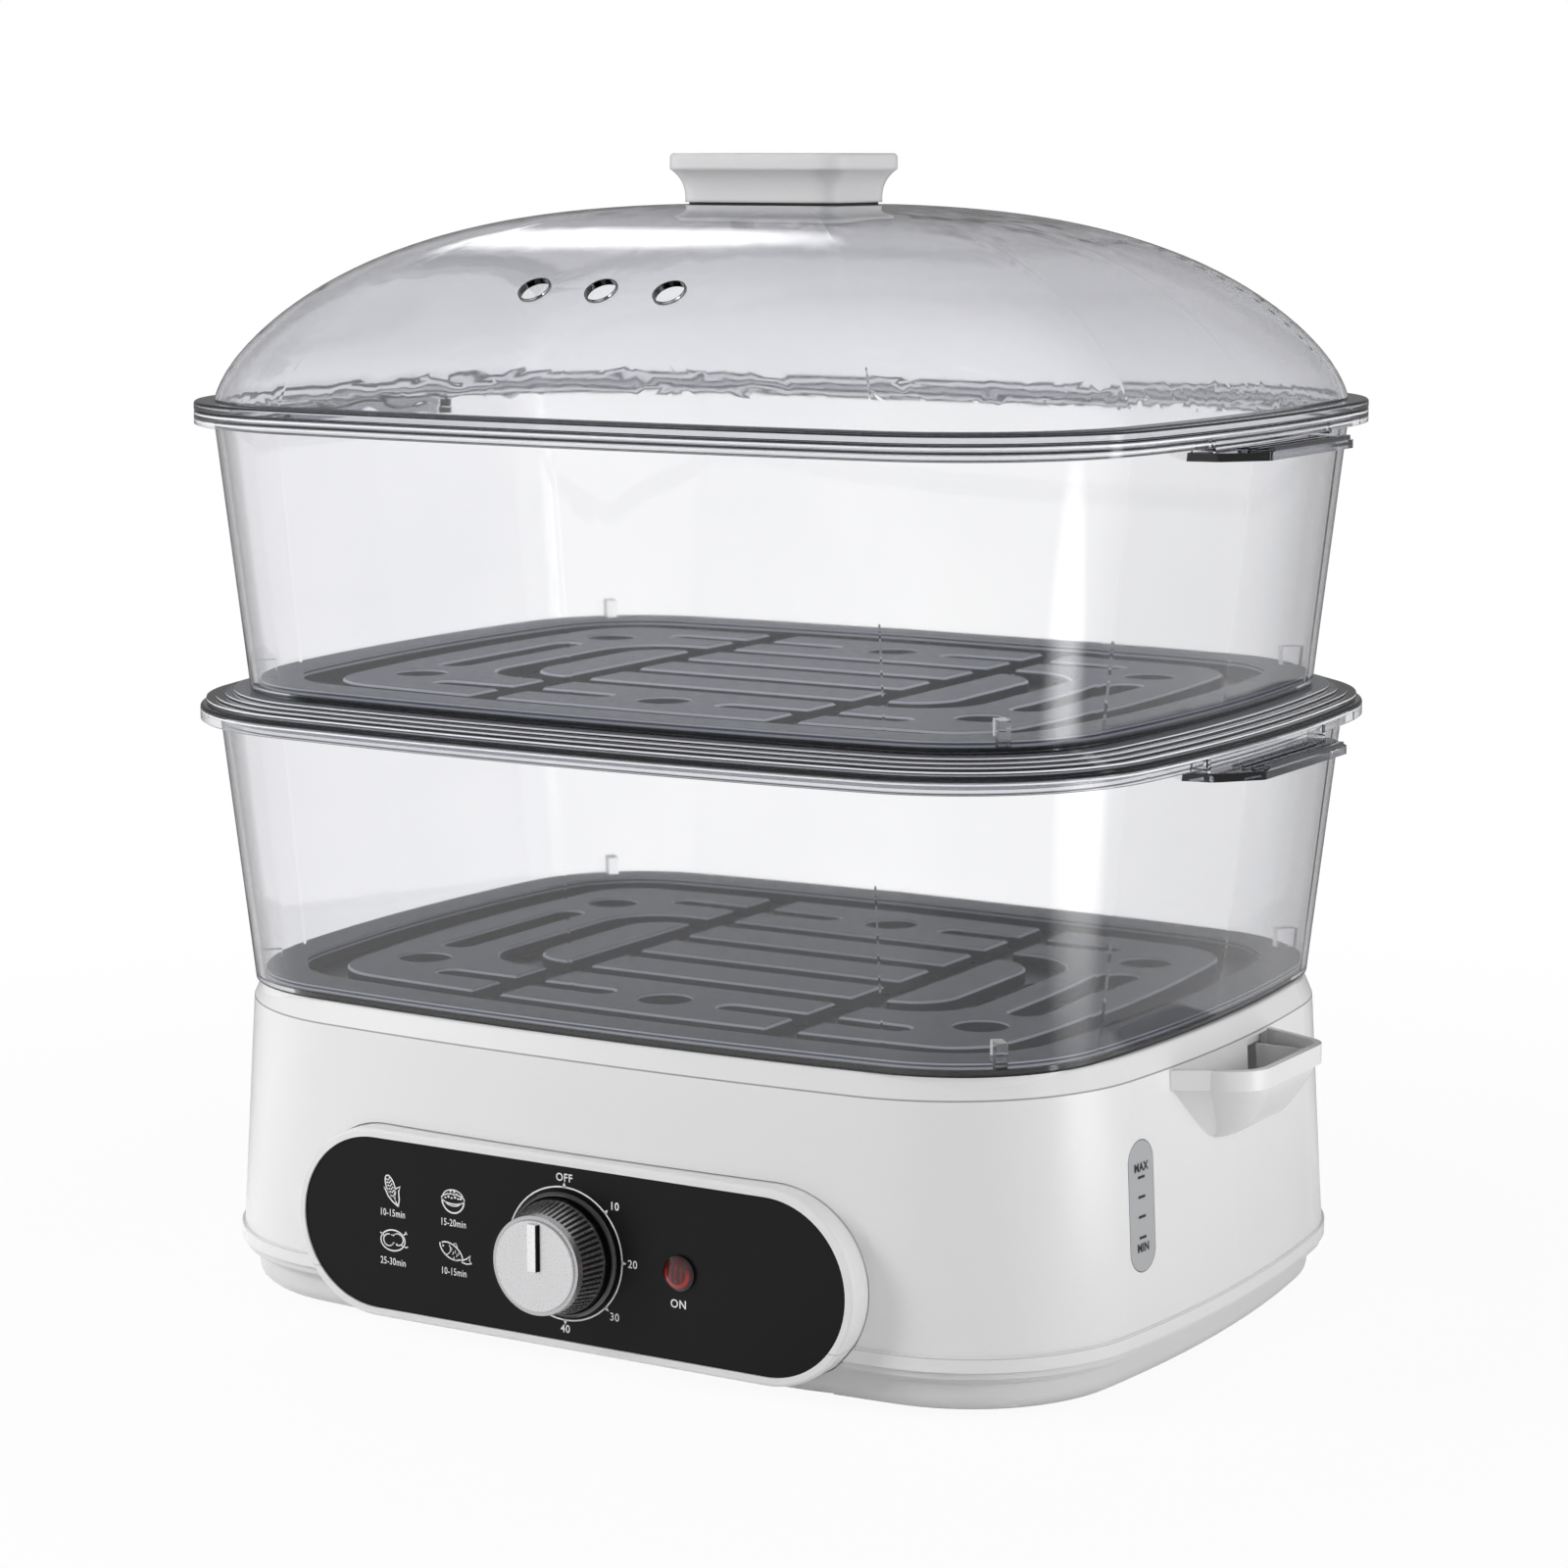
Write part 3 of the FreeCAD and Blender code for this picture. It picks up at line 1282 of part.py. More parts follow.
def make_terminal_block():
    """Three-way terminal block on the pan floor."""
    y = terminal_y
    top = pan_floor_z + terminal_height
    body = block(terminal_x - terminal_half_length, terminal_x + terminal_half_length,
                 y - terminal_half_width, y + terminal_half_width, pan_floor_z, top)
    body = body.makeFillet(1.2, edges_at(body, top))
    hole_end = terminal_half_width - terminal_way_depth
    for x in terminal_ways():
        body = body.cut(rod_y(x, pan_floor_z + wire_rise, y - terminal_half_width - past, y - hole_end,
                              terminal_way_radius))
        body = body.cut(rod_y(x, pan_floor_z + wire_rise, y + hole_end, y + terminal_half_width + past,
                              terminal_way_radius))
        body = body.cut(post(x, y, top - terminal_screw_sink, top + past, terminal_screw_radius + 0.1))
    return body


def make_terminal_screws():
    z_from = pan_floor_z + terminal_height - terminal_screw_sink
    return group([post(x, terminal_y, z_from, z_from + terminal_screw_height, terminal_screw_radius)
                  for x in terminal_ways()])


def wire_along(points, radius, bend):
    """Insulated wire through straight runs that are joined by arcs."""
    edges = []
    start = points[0]
    for index in range(1, len(points) - 1):
        corner = points[index]
        back = (points[index - 1] - corner)
        ahead = (points[index + 1] - corner)
        back.normalize()
        ahead.normalize()
        half = math.acos(max(-1.0, min(1.0, back.dot(ahead)))) / 2
        reach = bend / math.tan(half)
        enter = corner + back * reach
        leave = corner + ahead * reach
        bisector = back + ahead
        bisector.normalize()
        middle = corner + bisector * (bend / math.sin(half) - bend)
        edges.append(Part.makeLine(start, enter))
        edges.append(Part.Arc(enter, middle, leave).toShape())
        start = leave
    edges.append(Part.makeLine(start, points[-1]))
    path = Part.Wire(edges)
    direction = points[1] - points[0]
    section = Part.Wire(Part.makeCircle(radius, points[0], direction))
    return path.makePipeShell([section], True, False)


def timer_tab():
    """Lower end of the timer's right-hand terminal: x, y and z."""
    return tab_x, timer_back_y - tab_back_gap - tab_thickness / 2, panel_z - timer_half_height - tab_drop


def make_timer_wire():
    """Live wire from the terminal block to the timer."""
    x = terminal_x + terminal_pitch
    low = pan_floor_z + wire_rise
    end_x, end_y, end_z = timer_tab()
    points = [V(x, terminal_y - 3.2, low), V(x, terminal_y - 30, low), V(end_x, end_y + 24, low),
              V(end_x, end_y, low), V(end_x, end_y, end_z)]
    return wire_along(points, wire_radius, wire_bend)


def make_heater_wires():
    """Wires from the timer and the terminal block up to the element's pins."""
    low = pan_floor_z + wire_rise
    left, right = element_leg_points()
    end_x, end_y, end_z = timer_tab()
    first = [V(-end_x, end_y, end_z), V(-end_x, end_y, low), V(-end_x, end_y + 24, low),
             V(-50, -20, low), V(-50, 20, low), V(left[0], left[1], low), V(left[0], left[1], pin_end_z)]
    x = terminal_x - terminal_pitch
    second = [V(x, terminal_y - 3.2, low), V(x, terminal_y - 16, low), V(right[0], right[1], low),
              V(right[0], right[1], pin_end_z)]
    return group([wire_along(first, wire_radius, wire_bend), wire_along(second, wire_radius, wire_bend)])


def make_lamp_wires():
    """Two thin wires from the lamp down to the bundle."""
    wires = []
    y = panel_back_y + lens_barrel_reach + lamp_collar_length + lamp_lead_length
    for side in (-1, 1):
        x = lamp_x + side * lamp_lead_pitch / 2
        turn_y = y + 5 + 2 * side
        wires.append(wire_along([V(x, y, panel_z), V(x, turn_y, panel_z),
                                 V(x, turn_y, pan_floor_z + lamp_wire_radius + 0.1)],
                                lamp_wire_radius, lamp_wire_bend))
    return group(wires)


# ================================================================== tiers
def make_grip(seat):
    """Lifting tab under the rim, with a lip and ribs, for the +X side."""
    top = seat + bowl_height - rim_skirt - grip_drop
    root = rim_half_width - bowl_top_inset - 3.0
    slant_x = grip_reach - grip_slant
    corners = [V(root, -grip_half_length, 0), V(slant_x, -grip_half_length + 2, 0),
               V(grip_reach, -grip_end_half_length, 0), V(grip_reach, grip_end_half_length, 0),
               V(slant_x, grip_half_length - 2, 0), V(root, grip_half_length, 0),
               V(root, -grip_half_length, 0)]
    plate = Part.Face(Part.makePolygon(corners)).extrude(V(0, 0, grip_thickness))
    upright = [e for e in plate.Edges if e.BoundBox.ZLength > grip_thickness / 2
               and e.BoundBox.XMin > root + 1]
    plate = plate.makeFillet(grip_corner_radius, upright)
    lip_half = grip_end_half_length - grip_web_inset
    pieces = [plate, block(grip_reach - 2.0, grip_reach, -lip_half, lip_half, 0, grip_thickness + grip_lip)]
    for index in range(grip_rib_count):
        x = grip_reach - 5.0 - grip_rib_pitch * index
        pieces.append(block(x - grip_rib_half_width, x + grip_rib_half_width, -lip_half - past,
                            lip_half + past, grip_thickness - bite, grip_thickness + grip_rib_rise))
    grip = join(pieces)
    grip.translate(V(0, 0, top - grip_thickness))
    webs = []
    for y in (-grip_half_length + grip_web_inset, grip_half_length - grip_web_inset):
        webs.append(block(root, rim_half_width - past, y - grip_web / 2, y + grip_web / 2,
                          top - grip_thickness, seat + bowl_height - rim_plate + bite))
    return join([grip] + webs)


def corner_keys(seat, gap):
    """Four upright keys in the bowl corners that hold the tray square."""
    keys = []
    base_inset = bowl_foot_inset + bowl_wall
    for flip_x, flip_y in ((1, 1), (-1, 1), (-1, -1), (1, -1)):
        x, y, angle = corner_point(rim_plan, base_inset)
        key = block(-key_reach - gap, 2.0, -key_width / 2 - gap, key_width / 2 + gap, 0,
                    key_height + (5 if gap else 0))
        key.rotate(V(0, 0, 0), V(0, 0, 1), math.degrees(angle))
        key.translate(V(x, y, seat + bowl_ledge - (3 if gap else 0.5)))
        if flip_x < 0:
            key = key.mirror(V(0, 0, 0), V(1, 0, 0))
        if flip_y < 0:
            key = key.mirror(V(0, 0, 0), V(0, 1, 0))
        keys.append(key)
    return keys


def make_bowl(seat):
    """Clear bowl with a drafted wall, a skirted rim, an open floor and two grips."""
    top = seat + bowl_height
    wall = taper(rim_plan, bowl_foot_inset, seat, rim_plan, bowl_top_inset, top - 0.5)
    rim = slab(rim_plan, 0, top - rim_skirt, top)
    rim = rim.makeFillet(1.0, edges_at(rim, top))
    rim = rim.cut(slab(rim_plan, rim_plate, top - rim_skirt - 1, top - rim_plate))
    grips = [make_grip(seat), mirrored(make_grip(seat))]
    outer = join([wall, rim] + grips)
    inner = taper(rim_plan, bowl_foot_inset + bowl_wall, seat + bowl_ledge, rim_plan,
                  bowl_top_inset + bowl_wall, top + 0.5)
    bowl = outer.cut(inner)
    bowl = bowl.cut(slab(rim_plan, bowl_ledge_inset, seat - 1, seat + bowl_ledge + 1))
    skirt = ring_slab(rim_plan, neck_inset + slip_gap, neck_inset + slip_gap + skirt_wall,
                      seat - skirt_depth, seat + 0.5)
    limit = taper(rim_plan, bowl_foot_inset + 0.4, seat, rim_plan, bowl_top_inset + 0.4, top)
    keys = [key.common(limit) for key in corner_keys(seat, 0)]
    return join([bowl, skirt] + keys)


def plateau_grooves(z_from, z_to, grow):
    """Grooves between the raised bars of a tray, each widened by grow on every side."""
    cuts = []
    reach = plateau_half_depth + 2
    for side in (-1, 1):
        x = side * channel_x
        half = channel_width / 2 + grow
        cuts.append(block(x - half, x + half, -reach, reach, z_from, z_to))
    for row in (-1.5, -0.5, 0.5, 1.5):
        y = row * bar_pitch
        half = bar_groove / 2 + grow
        cuts.append(block(-channel_x, channel_x, y - half, y + half, z_from, z_to))
    for side_x in (-1, 1):
        for side_y in (-1, 1):
            start = side_groove_start - grow
            end = plateau_half_width - side_groove_inset_x + grow
            half = side_groove_width / 2 + grow
            y = side_y * (plateau_half_depth - side_groove_inset_y)
            low, high = sorted((side_x * start, side_x * end))
            cuts.append(slot_along(low, high, y - half, y + half, z_from, z_to))
        bend_outer_x = plateau_half_width - bend_inset_x
        bend_outer_y = plateau_half_depth - bend_inset_y
        outer = rounded_block(bend_outer_x + grow, bend_outer_y + grow, bend_corner + grow, z_from, z_to)
        inner = rounded_block(bend_outer_x - bend_width - grow, bend_outer_y - bend_width - grow,
                              bend_corner - bend_width / 2, z_from, z_to)
        bend = outer.cut(inner)
        low, high = sorted((side_x * channel_x, side_x * (bend_outer_x + grow + 1)))
        cuts.append(bend.common(block(low, high, -reach, reach, z_from, z_to)))
        half = slot_width / 2 + grow
        x = side_x * (plateau_half_width - slot_inset_x)
        length = slot_half_length + grow
        cuts.append(slot_along(x - half, x + half, -length, length, z_from, z_to))
    return cuts


def steam_hole_points():
    corners = four_corners(plateau_half_width - corner_hole_inset_x,
                           plateau_half_depth - corner_hole_inset_y)
    middle_hole_y = plateau_half_depth - middle_hole_inset_y
    return corners + [(0, middle_hole_y), (0, -middle_hole_y)]


def through_slots(z_from, z_to):
    """Openings in the bottoms of the grooves, split by narrow bridges."""
    cuts = []
    margin = groove_margin
    bridge = (bridge_width + 1.4) / 2
    for row in (-1.5, -0.5, 0.5, 1.5):
        y = row * bar_pitch
        half = bar_groove / 2 - margin
        for index in range(slots_per_bar):
            x_from = (index - slots_per_bar / 2) * bridge_pitch + bridge_width / 2
            x_to = x_from + bridge_pitch - bridge_width
            cuts.append(block(x_from, x_to, y - half, y + half, z_from, z_to))
    for side_x in (-1, 1):
        for side_y in (-1, 1):
            half = side_groove_width / 2 - margin
            y = side_y * (plateau_half_depth - side_groove_inset_y)
            inner = channel_x - channel_width / 2 - 3
            outer = channel_x + channel_width / 2 + 3
            groove_end = plateau_half_width - side_groove_inset_x
            for start, end in ((side_groove_start + margin, inner), (outer, groove_end - margin)):
                low, high = sorted((side_x * start, side_x * end))
                cuts.append(slot_along(low, high, y - half, y + half, z_from, z_to))
        x = side_x * (plateau_half_width - slot_inset_x)
        half = slot_width / 2 - margin
        for low, high in ((-slot_half_length + margin, -bridge), (bridge, slot_half_length - margin)):
            cuts.append(slot_along(x - half, x + half, low, high, z_from, z_to))
        x = side_x * (plateau_half_width - bend_inset_x - bend_width / 2)
        half = bend_width / 2 - margin
        for low, high in ((-bend_slot_half_length, -bridge), (bridge, bend_slot_half_length)):
            cuts.append(slot_along(x - half, x + half, low, high, z_from, z_to))
    return cuts


def make_tray(seat):
    """Raised-bar tray: rim on the bowl's ledge, gutter, and a plateau of hollow bars."""
    rest = seat + bowl_ledge
    floor = rest + tray_wall - gutter_depth
    top = rest + plateau_top - tray_wall
    edge_inset = bowl_foot_inset + bowl_wall + loose_gap
    rim = slab(rim_plan, edge_inset, rest, rest + tray_wall)
    dish = slab(rim_plan, tray_rim_inset, floor, rest + tray_wall)
    trough = slab(rim_plan, gutter_inset, floor + tray_wall, rest + tray_wall + 1)
    body = join([rim, dish]).cut(trough)
    plateau = slab(rim_plan, plateau_inset, floor, top)
    plateau = plateau.cut(plateau_grooves(floor + tray_wall, top + 1, 0))
    plateau = plateau.makeChamfer(island_chamfer, edges_at(plateau, top))
    pocket = slab(rim_plan, plateau_inset + tray_wall, floor - 1, top - tray_wall)
    pocket = pocket.cut(plateau_grooves(floor - 2, top, tray_wall))
    collars = [post(x, y, floor - 1, top, steam_hole_radius + tray_wall) for x, y in steam_hole_points()]
    pocket = pocket.cut(collars)
    body = join([body, plateau]).cut(pocket)
    holes = [post(x, y, floor - 1, top + 1, steam_hole_radius) for x, y in steam_hole_points()]
    body = body.cut(holes)
    body = body.cut(through_slots(floor - 1, floor + tray_wall + 1))
    return body.cut(corner_keys(seat, 0.5))


def make_stacking_ring():
    """Stepped ring on the lower bowl's rim that carries the upper bowl."""
    base = seat_z + bowl_height
    top = base + ring_height
    pieces = [slab(rim_plan, ring_edge_inset, base, base + ring_plate)]
    for index in range(ring_steps):
        inset = ring_edge_inset + ring_step_width * (index + 1)
        pieces.append(slab(rim_plan, inset, base, base + ring_plate + ring_step * (index + 1)))
    solid = join(pieces)
    solid = solid.cut(slab(rim_plan, ring_opening_inset, base - 1, top + 1))
    solid = solid.common(slab(rim_plan, 0, base, top))
    hollow = ring_slab(rim_plan, bowl_top_inset + bowl_wall + slip_gap + ring_rib,
                       ring_opening_inset - ring_rib, base - 1, top - ring_plate)
    solid = solid.cut(hollow)
    rib = ring_slab(rim_plan, bowl_top_inset + bowl_wall + slip_gap + 0.5,
                    bowl_top_inset + bowl_wall + slip_gap + ring_rib, base - ring_rib_depth, base + 0.5)
    return join([solid, rib])


# ================================================================== drip tray
def make_drip_tray():
    """Shallow juice tray on the tank's ledge, with two steam chimneys and finger tabs."""
    rest = seat_z - neck_depth
    floor = rest - drip_depth + drip_flange
    edge = neck_inset + drip_gap
    inner_edge = neck_inset + ledge_width + drip_gap
    flange = slab(rim_plan, edge, rest, rest + drip_flange)
    bowl = taper(rim_plan, inner_edge + drip_slope_inset, floor, rim_plan, inner_edge, rest + drip_flange)
    hollow = taper(rim_plan, inner_edge + drip_slope_inset + drip_wall, floor + drip_wall, rim_plan,
                   inner_edge + drip_wall, rest + drip_flange)
    tray = join([flange, bowl]).cut(hollow)
    tray = tray.cut(slab(rim_plan, inner_edge + drip_wall, rest + drip_flange - 0.2, rest + 9))
    chimneys = []
    holes = []
    for side in (-1, 0, 1):
        x = side * chimney_x
        chimneys.append(post(x, 0, floor, floor + drip_wall + chimney_rise, chimney_radius))
        holes.append(post(x, 0, floor - 1, floor + drip_wall + chimney_rise + 1, chimney_radius - drip_wall))
    tray = join([tray] + chimneys).cut(holes)
    for side in (-1, 1):
        x = side * (rim_half_width - edge - 2.6)
        low, high = sorted((x, side * (rim_half_width - inner_edge - 0.5)))
        notch = block(low, high, -drip_grip_width / 2, drip_grip_width / 2, rest - past,
                      rest + drip_grip_depth)
        tray = tray.cut(notch)
    return tray


# ================================================================== lid
def dome_wire(drop_plan, height, share, z_base):
    """Section of the dome: the rim outline scaled about the middle."""
    scale = (1 - share ** dome_height_power) ** (1 / dome_plan_power)
    wire = outline(rim_plan, drop_plan, 0)
    matrix = FreeCAD.Matrix()
    matrix.scale(scale, scale, 1)
    wire = wire.transformGeometry(matrix)
    wire.translate(V(0, 0, z_base + height * share))
    return wire


def dome_solid(drop_plan, height, z_base):
    """Dome from its springing line up to the flat pad under the handle."""
    last = (1 - dome_cap_share ** dome_plan_power) ** (1 / dome_height_power)
    wires = []
    for index in range(dome_sections):
        share = last * math.sin(index / (dome_sections - 1) * math.pi / 2)
        wires.append(dome_wire(drop_plan, height, share, z_base))
    return Part.makeLoft(wires, True, False)


def make_lid_dome():
    """Clear domed lid with a flange, a locating rib and three vent holes."""
    flange = slab(rim_plan, 0, lid_seat_z, dome_z)
    flange = flange.makeFillet(lid_edge_radius, edges_at(flange, dome_z))
    rib_outer = bowl_top_inset + bowl_wall + slip_gap + 0.5
    rib = slab(rim_plan, rib_outer, lid_seat_z - lid_rib_depth, lid_seat_z + bite)
    outer = join([dome_solid(dome_inset, dome_height, dome_z), flange, rib])
    inner = dome_solid(dome_inset + lid_wall, dome_height - lid_wall, dome_z)
    opening = slab(rim_plan, rib_outer + lid_wall, lid_seat_z - 5, dome_z + 0.01)
    lid = outer.cut(inner).cut(opening)
    scale = -vent_y / (rim_half_depth - dome_inset)
    vent_z = dome_z + dome_height * (1 - scale ** dome_plan_power) ** (1 / dome_height_power)
    for index in (-1, 0, 1):
        vent = post(0, 0, -4 * lid_wall, 4 * lid_wall, vent_radius)
        vent.rotate(V(0, 0, 0), V(1, 0, 0), vent_tilt)
        vent.translate(V(vent_x + index * vent_pitch, vent_y, vent_z))
        lid = lid.cut(vent)
    for side in (-1, 1):
        lid = lid.cut(post(side * handle_screw_x, 0, dome_z + dome_height - 12, dome_z + dome_height + 2,
                           handle_screw_radius + seat_gap))
    return lid


def pad_z():
    """Height of the flat pad on top of the dome."""
    share = (1 - dome_cap_share ** dome_plan_power) ** (1 / dome_height_power)
    return dome_z + dome_height * share


def pad_under_z():
    share = (1 - dome_cap_share ** dome_plan_power) ** (1 / dome_height_power)
    return dome_z + (dome_height - lid_wall) * share


def make_handle_gasket():
    z_from = pad_z()
    ring = rounded_block(neck_half_width - 1.2, neck_half_depth - 1.2, neck_corner - 1, z_from,
                         z_from + handle_seal)
    for side in (-1, 1):
        ring = ring.cut(post(side * handle_screw_x, 0, z_from - 1, z_from + handle_seal + 1,
                             handle_screw_radius + seat_gap))
    return ring


def make_lid_handle():
    """Hollow handle: a flat rounded top on a narrower neck."""
    z_from = pad_z() + handle_seal
    z_to = z_from + handle_height
    z_plate = z_to - handle_plate_height
    sections = []
    for share in (0.0, 0.3, 0.6, 0.85, 1.0):
        flare = share ** 3
        half_x = neck_half_width + (handle_half_width - neck_half_width) * flare
        half_y = neck_half_depth + (handle_half_depth - neck_half_depth) * flare
        corner = neck_corner + (handle_corner - neck_corner) * flare
        sections.append(rounded_rectangle(half_x, half_y, corner, z_from + (z_plate - z_from) * share))
    neck = Part.makeLoft(sections, True, False)
    top = rounded_block(handle_half_width, handle_half_depth, handle_corner, z_plate, z_to)
    top = top.makeFillet(handle_edge_radius, edges_at(top, z_to))
    handle = join([neck, top])
    hollow = rounded_block(neck_half_width - handle_wall, neck_half_depth - handle_wall,
                           neck_corner - handle_wall, z_from - past, z_to - handle_top_wall)
    bosses = []
    for side in (-1, 1):
        bosses.append(post(side * handle_screw_x, 0, z_from - 1, z_to, handle_boss_radius))
    handle = handle.cut(hollow.cut(bosses))
    for side in (-1, 1):
        handle = handle.cut(post(side * handle_screw_x, 0, z_from - past, z_from + handle_screw_tip + past,
                                 handle_screw_radius - 0.3))
    return handle


def make_handle_plate():
    """Plate under the dome that spreads the load of the handle screws."""
    z_to = pad_under_z()
    plate = rounded_block(handle_half_width - 1.5, handle_half_depth - 1.5, handle_corner - 1,
                          z_to - clamp_plate, z_to)
    for side in (-1, 1):
        plate = plate.cut(post(side * handle_screw_x, 0, z_to - clamp_plate - 1, z_to + 1,
                               handle_screw_radius + seat_gap))
    return plate


def make_handle_screws():
    z_head = pad_under_z() - clamp_plate - handle_screw_head_height
    screws = []
    for side in (-1, 1):
        x = side * handle_screw_x
        head = post(x, 0, z_head, z_head + handle_screw_head_height, handle_screw_head)
        head = head.makeFillet(handle_screw_head_height * 0.4, edges_at(head, z_head))
        upper = post(x, 0, z_head + 1, pad_z() + handle_seal, handle_screw_radius)
        tip = post(x, 0, z_head + 1, pad_z() + handle_seal + handle_screw_tip, handle_screw_radius - 0.3)
        screw = join([head, upper, tip])
        for turn in (0, 90):
            recess = block(-handle_screw_head * recess_share, handle_screw_head * recess_share,
                           -recess_half_width, recess_half_width, -past, handle_screw_head_height / 2)
            recess.rotate(V(0, 0, 0), V(0, 0, 1), turn)
            recess.translate(V(x, 0, z_head))
            screw = screw.cut(recess)
        screws.append(screw)
    return group(screws)


# ================================================================== nodes
nodes = {
    "base_shell": make_base_shell,
    "base_pan": make_base_pan,
    "rubber_feet": make_feet,
    "pan_screws": make_pan_screws,
    "water_tank": make_water_tank,
    "tank_screws": make_tank_screws,
    "level_window": make_level_window,
    "window_gasket": make_window_gasket,
    "panel_bezel": make_panel_bezel,
    "panel_fascia": make_panel_fascia,
    "bezel_screws": make_bezel_screws,
    "timer_case": make_timer_case,
    "timer_screws": make_timer_screws,
    "timer_bell": make_timer_bell,
    "timer_shaft": make_timer_shaft,
    "timer_knob": make_knob,
    "knob_cap": make_knob_cap,
    "indicator_lens": make_indicator_lens,
    "indicator_lamp": make_indicator_lamp,
    "heater_gasket": make_heater_gasket,
    "heater_plate": make_heater_plate,
    "heating_element": make_heating_element,
    "heater_clamp_ring": make_clamp_ring,
    "heater_screws": make_clamp_screws,
    "heater_nuts": make_clamp_nuts,
    "thermostat": make_thermostat,
    "steam_guide": make_steam_guide,
    "cord_gland": make_cord_gland,
    "cord_clamp": make_cord_clamp,
    "cord_clamp_screws": make_clamp_saddle_screws,
    "terminal_block": make_terminal_block,
    "terminal_screws": make_terminal_screws,
    "timer_wire": make_timer_wire,
    "heater_wires": make_heater_wires,
    "lamp_wires": make_lamp_wires,
    "drip_tray": make_drip_tray,
    "lower_bowl": lambda: make_bowl(seat_z),
    "lower_tray": lambda: make_tray(seat_z),
    "stacking_ring": make_stacking_ring,
    "upper_bowl": lambda: make_bowl(upper_seat_z),
    "upper_tray": lambda: make_tray(upper_seat_z),
    "lid_dome": make_lid_dome,
    "handle_gasket": make_handle_gasket,
    "lid_handle": make_lid_handle,
    "handle_plate": make_handle_plate,
    "handle_screws": make_handle_screws,
}

os.makedirs("parts", exist_ok=True)
for name, build in nodes.items():
    shape = build()
    shape.translate(V(0, -middle_y, 0))
    bounds = shape.BoundBox
    print("%-20s solids %2d valid %s volume %10.1f  x %7.1f %7.1f y %7.1f %7.1f z %7.1f %7.1f" % (
        name, len(shape.Solids), shape.isValid(), shape.Volume, bounds.XMin, bounds.XMax,
        bounds.YMin, bounds.YMax, bounds.ZMin, bounds.ZMax))
    shape.exportStep("parts/%s.step" % name)
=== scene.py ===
import json
import math

import bmesh
import bpy
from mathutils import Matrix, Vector
from mathutils.bvhtree import BVHTree


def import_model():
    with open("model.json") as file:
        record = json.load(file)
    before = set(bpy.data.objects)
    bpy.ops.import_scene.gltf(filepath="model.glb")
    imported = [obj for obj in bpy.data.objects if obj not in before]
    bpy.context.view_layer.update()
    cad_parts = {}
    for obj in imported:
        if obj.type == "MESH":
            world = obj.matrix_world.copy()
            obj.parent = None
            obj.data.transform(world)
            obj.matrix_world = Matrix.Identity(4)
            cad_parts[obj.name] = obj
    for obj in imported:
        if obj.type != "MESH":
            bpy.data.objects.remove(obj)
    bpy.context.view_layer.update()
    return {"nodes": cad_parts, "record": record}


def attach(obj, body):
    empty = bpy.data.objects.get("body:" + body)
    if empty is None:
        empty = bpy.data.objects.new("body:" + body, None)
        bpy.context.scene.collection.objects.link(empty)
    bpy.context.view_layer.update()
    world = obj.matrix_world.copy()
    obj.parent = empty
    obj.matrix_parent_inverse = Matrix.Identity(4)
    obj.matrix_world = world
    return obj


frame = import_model()
nodes = frame["nodes"]

# ------------------------------------------------------------------ places on the object, metres
FASCIA_Y = -0.12715          # face of the black plate
KNOB_Z = 0.038               # height of the knob, lamp and plate centre
LAMP_X = 0.042
WINDOW_Y = -0.05575
WINDOW_Z = 0.059
PRINT_LIFT = 0.00006         # print stands this far off its surface
KNOB_FRONT = -0.14325        # front end of the knob's ribbed skirt
VENTS = [(-0.0251, -0.10157, 0.3314), (-0.0007, -0.10169, 0.33153), (0.0237, -0.10159, 0.33141)]
VENT_AXIS = (0.0, -0.6428, 0.766)
VENT_RADIUS = 0.00535
SEATS = (0.105, 0.2007)      # undersides of the two bowls
RING_TOPS = (0.1980, 0.1989, 0.1998, 0.2007)     # tops of the stacking ring's four steps
TANK_SEAM_Z = 0.0980         # seam between the tank and the housing
BELT_BEAD_Z = 0.0208         # bead over the belt of the housing
GRIP_X = 0.1755              # the bowls' grips lie further out than this
KNOB_FLUTES = 60
LENS_BARS = 3300.0           # bars inside the red lens, radians of their wave per metre
DIAL_RADIUS = 21.1           # ring of the dial, millimetres
CAPITAL_SHARE = 0.70         # height of a capital over the font's size
MM = 0.001

# ------------------------------------------------------------------ shades that several marks share
# grey of the painted shadow lines on the housing and round the foot of the pan
SHADOW_LINE_GREY = (0.16, 0.16, 0.165)
# painted shade in the knob's flutes
FLUTE_SHADE = (0.012, 0.012, 0.013)
# white of the painted highlights on the rims and the ring
GLINT_WHITE = (0.90, 0.90, 0.92)
SMOKE = (0.036, 0.046, 0.072)
RIM_TINT = (0.87, 0.875, 0.895)
# painted shade lines along the rims
RIM_SHADE = (0.03, 0.032, 0.04)
GRIP_TINT = (0.13, 0.137, 0.155)
CLEAR_IOR = 1.52


# ------------------------------------------------------------------ materials
def graph(name):
    """New node material: returns the material, its tree and its empty output."""
    mat = bpy.data.materials.new(name)
    mat.use_nodes = True
    tree = mat.node_tree
    tree.nodes.clear()
    out = tree.nodes.new("ShaderNodeOutputMaterial")
    return mat, tree, out


def noise(tree, scale, detail):
    """Noise in the object's own coordinates, as a socket."""
    coord = tree.nodes.new("ShaderNodeTexCoord")
    tex = tree.nodes.new("ShaderNodeTexNoise")
    tex.inputs["Scale"].default_value = scale
    tex.inputs["Detail"].default_value = detail
    tex.inputs["Roughness"].default_value = 0.55
    tree.links.new(coord.outputs["Object"], tex.inputs["Vector"])
    return tex.outputs["Fac"]


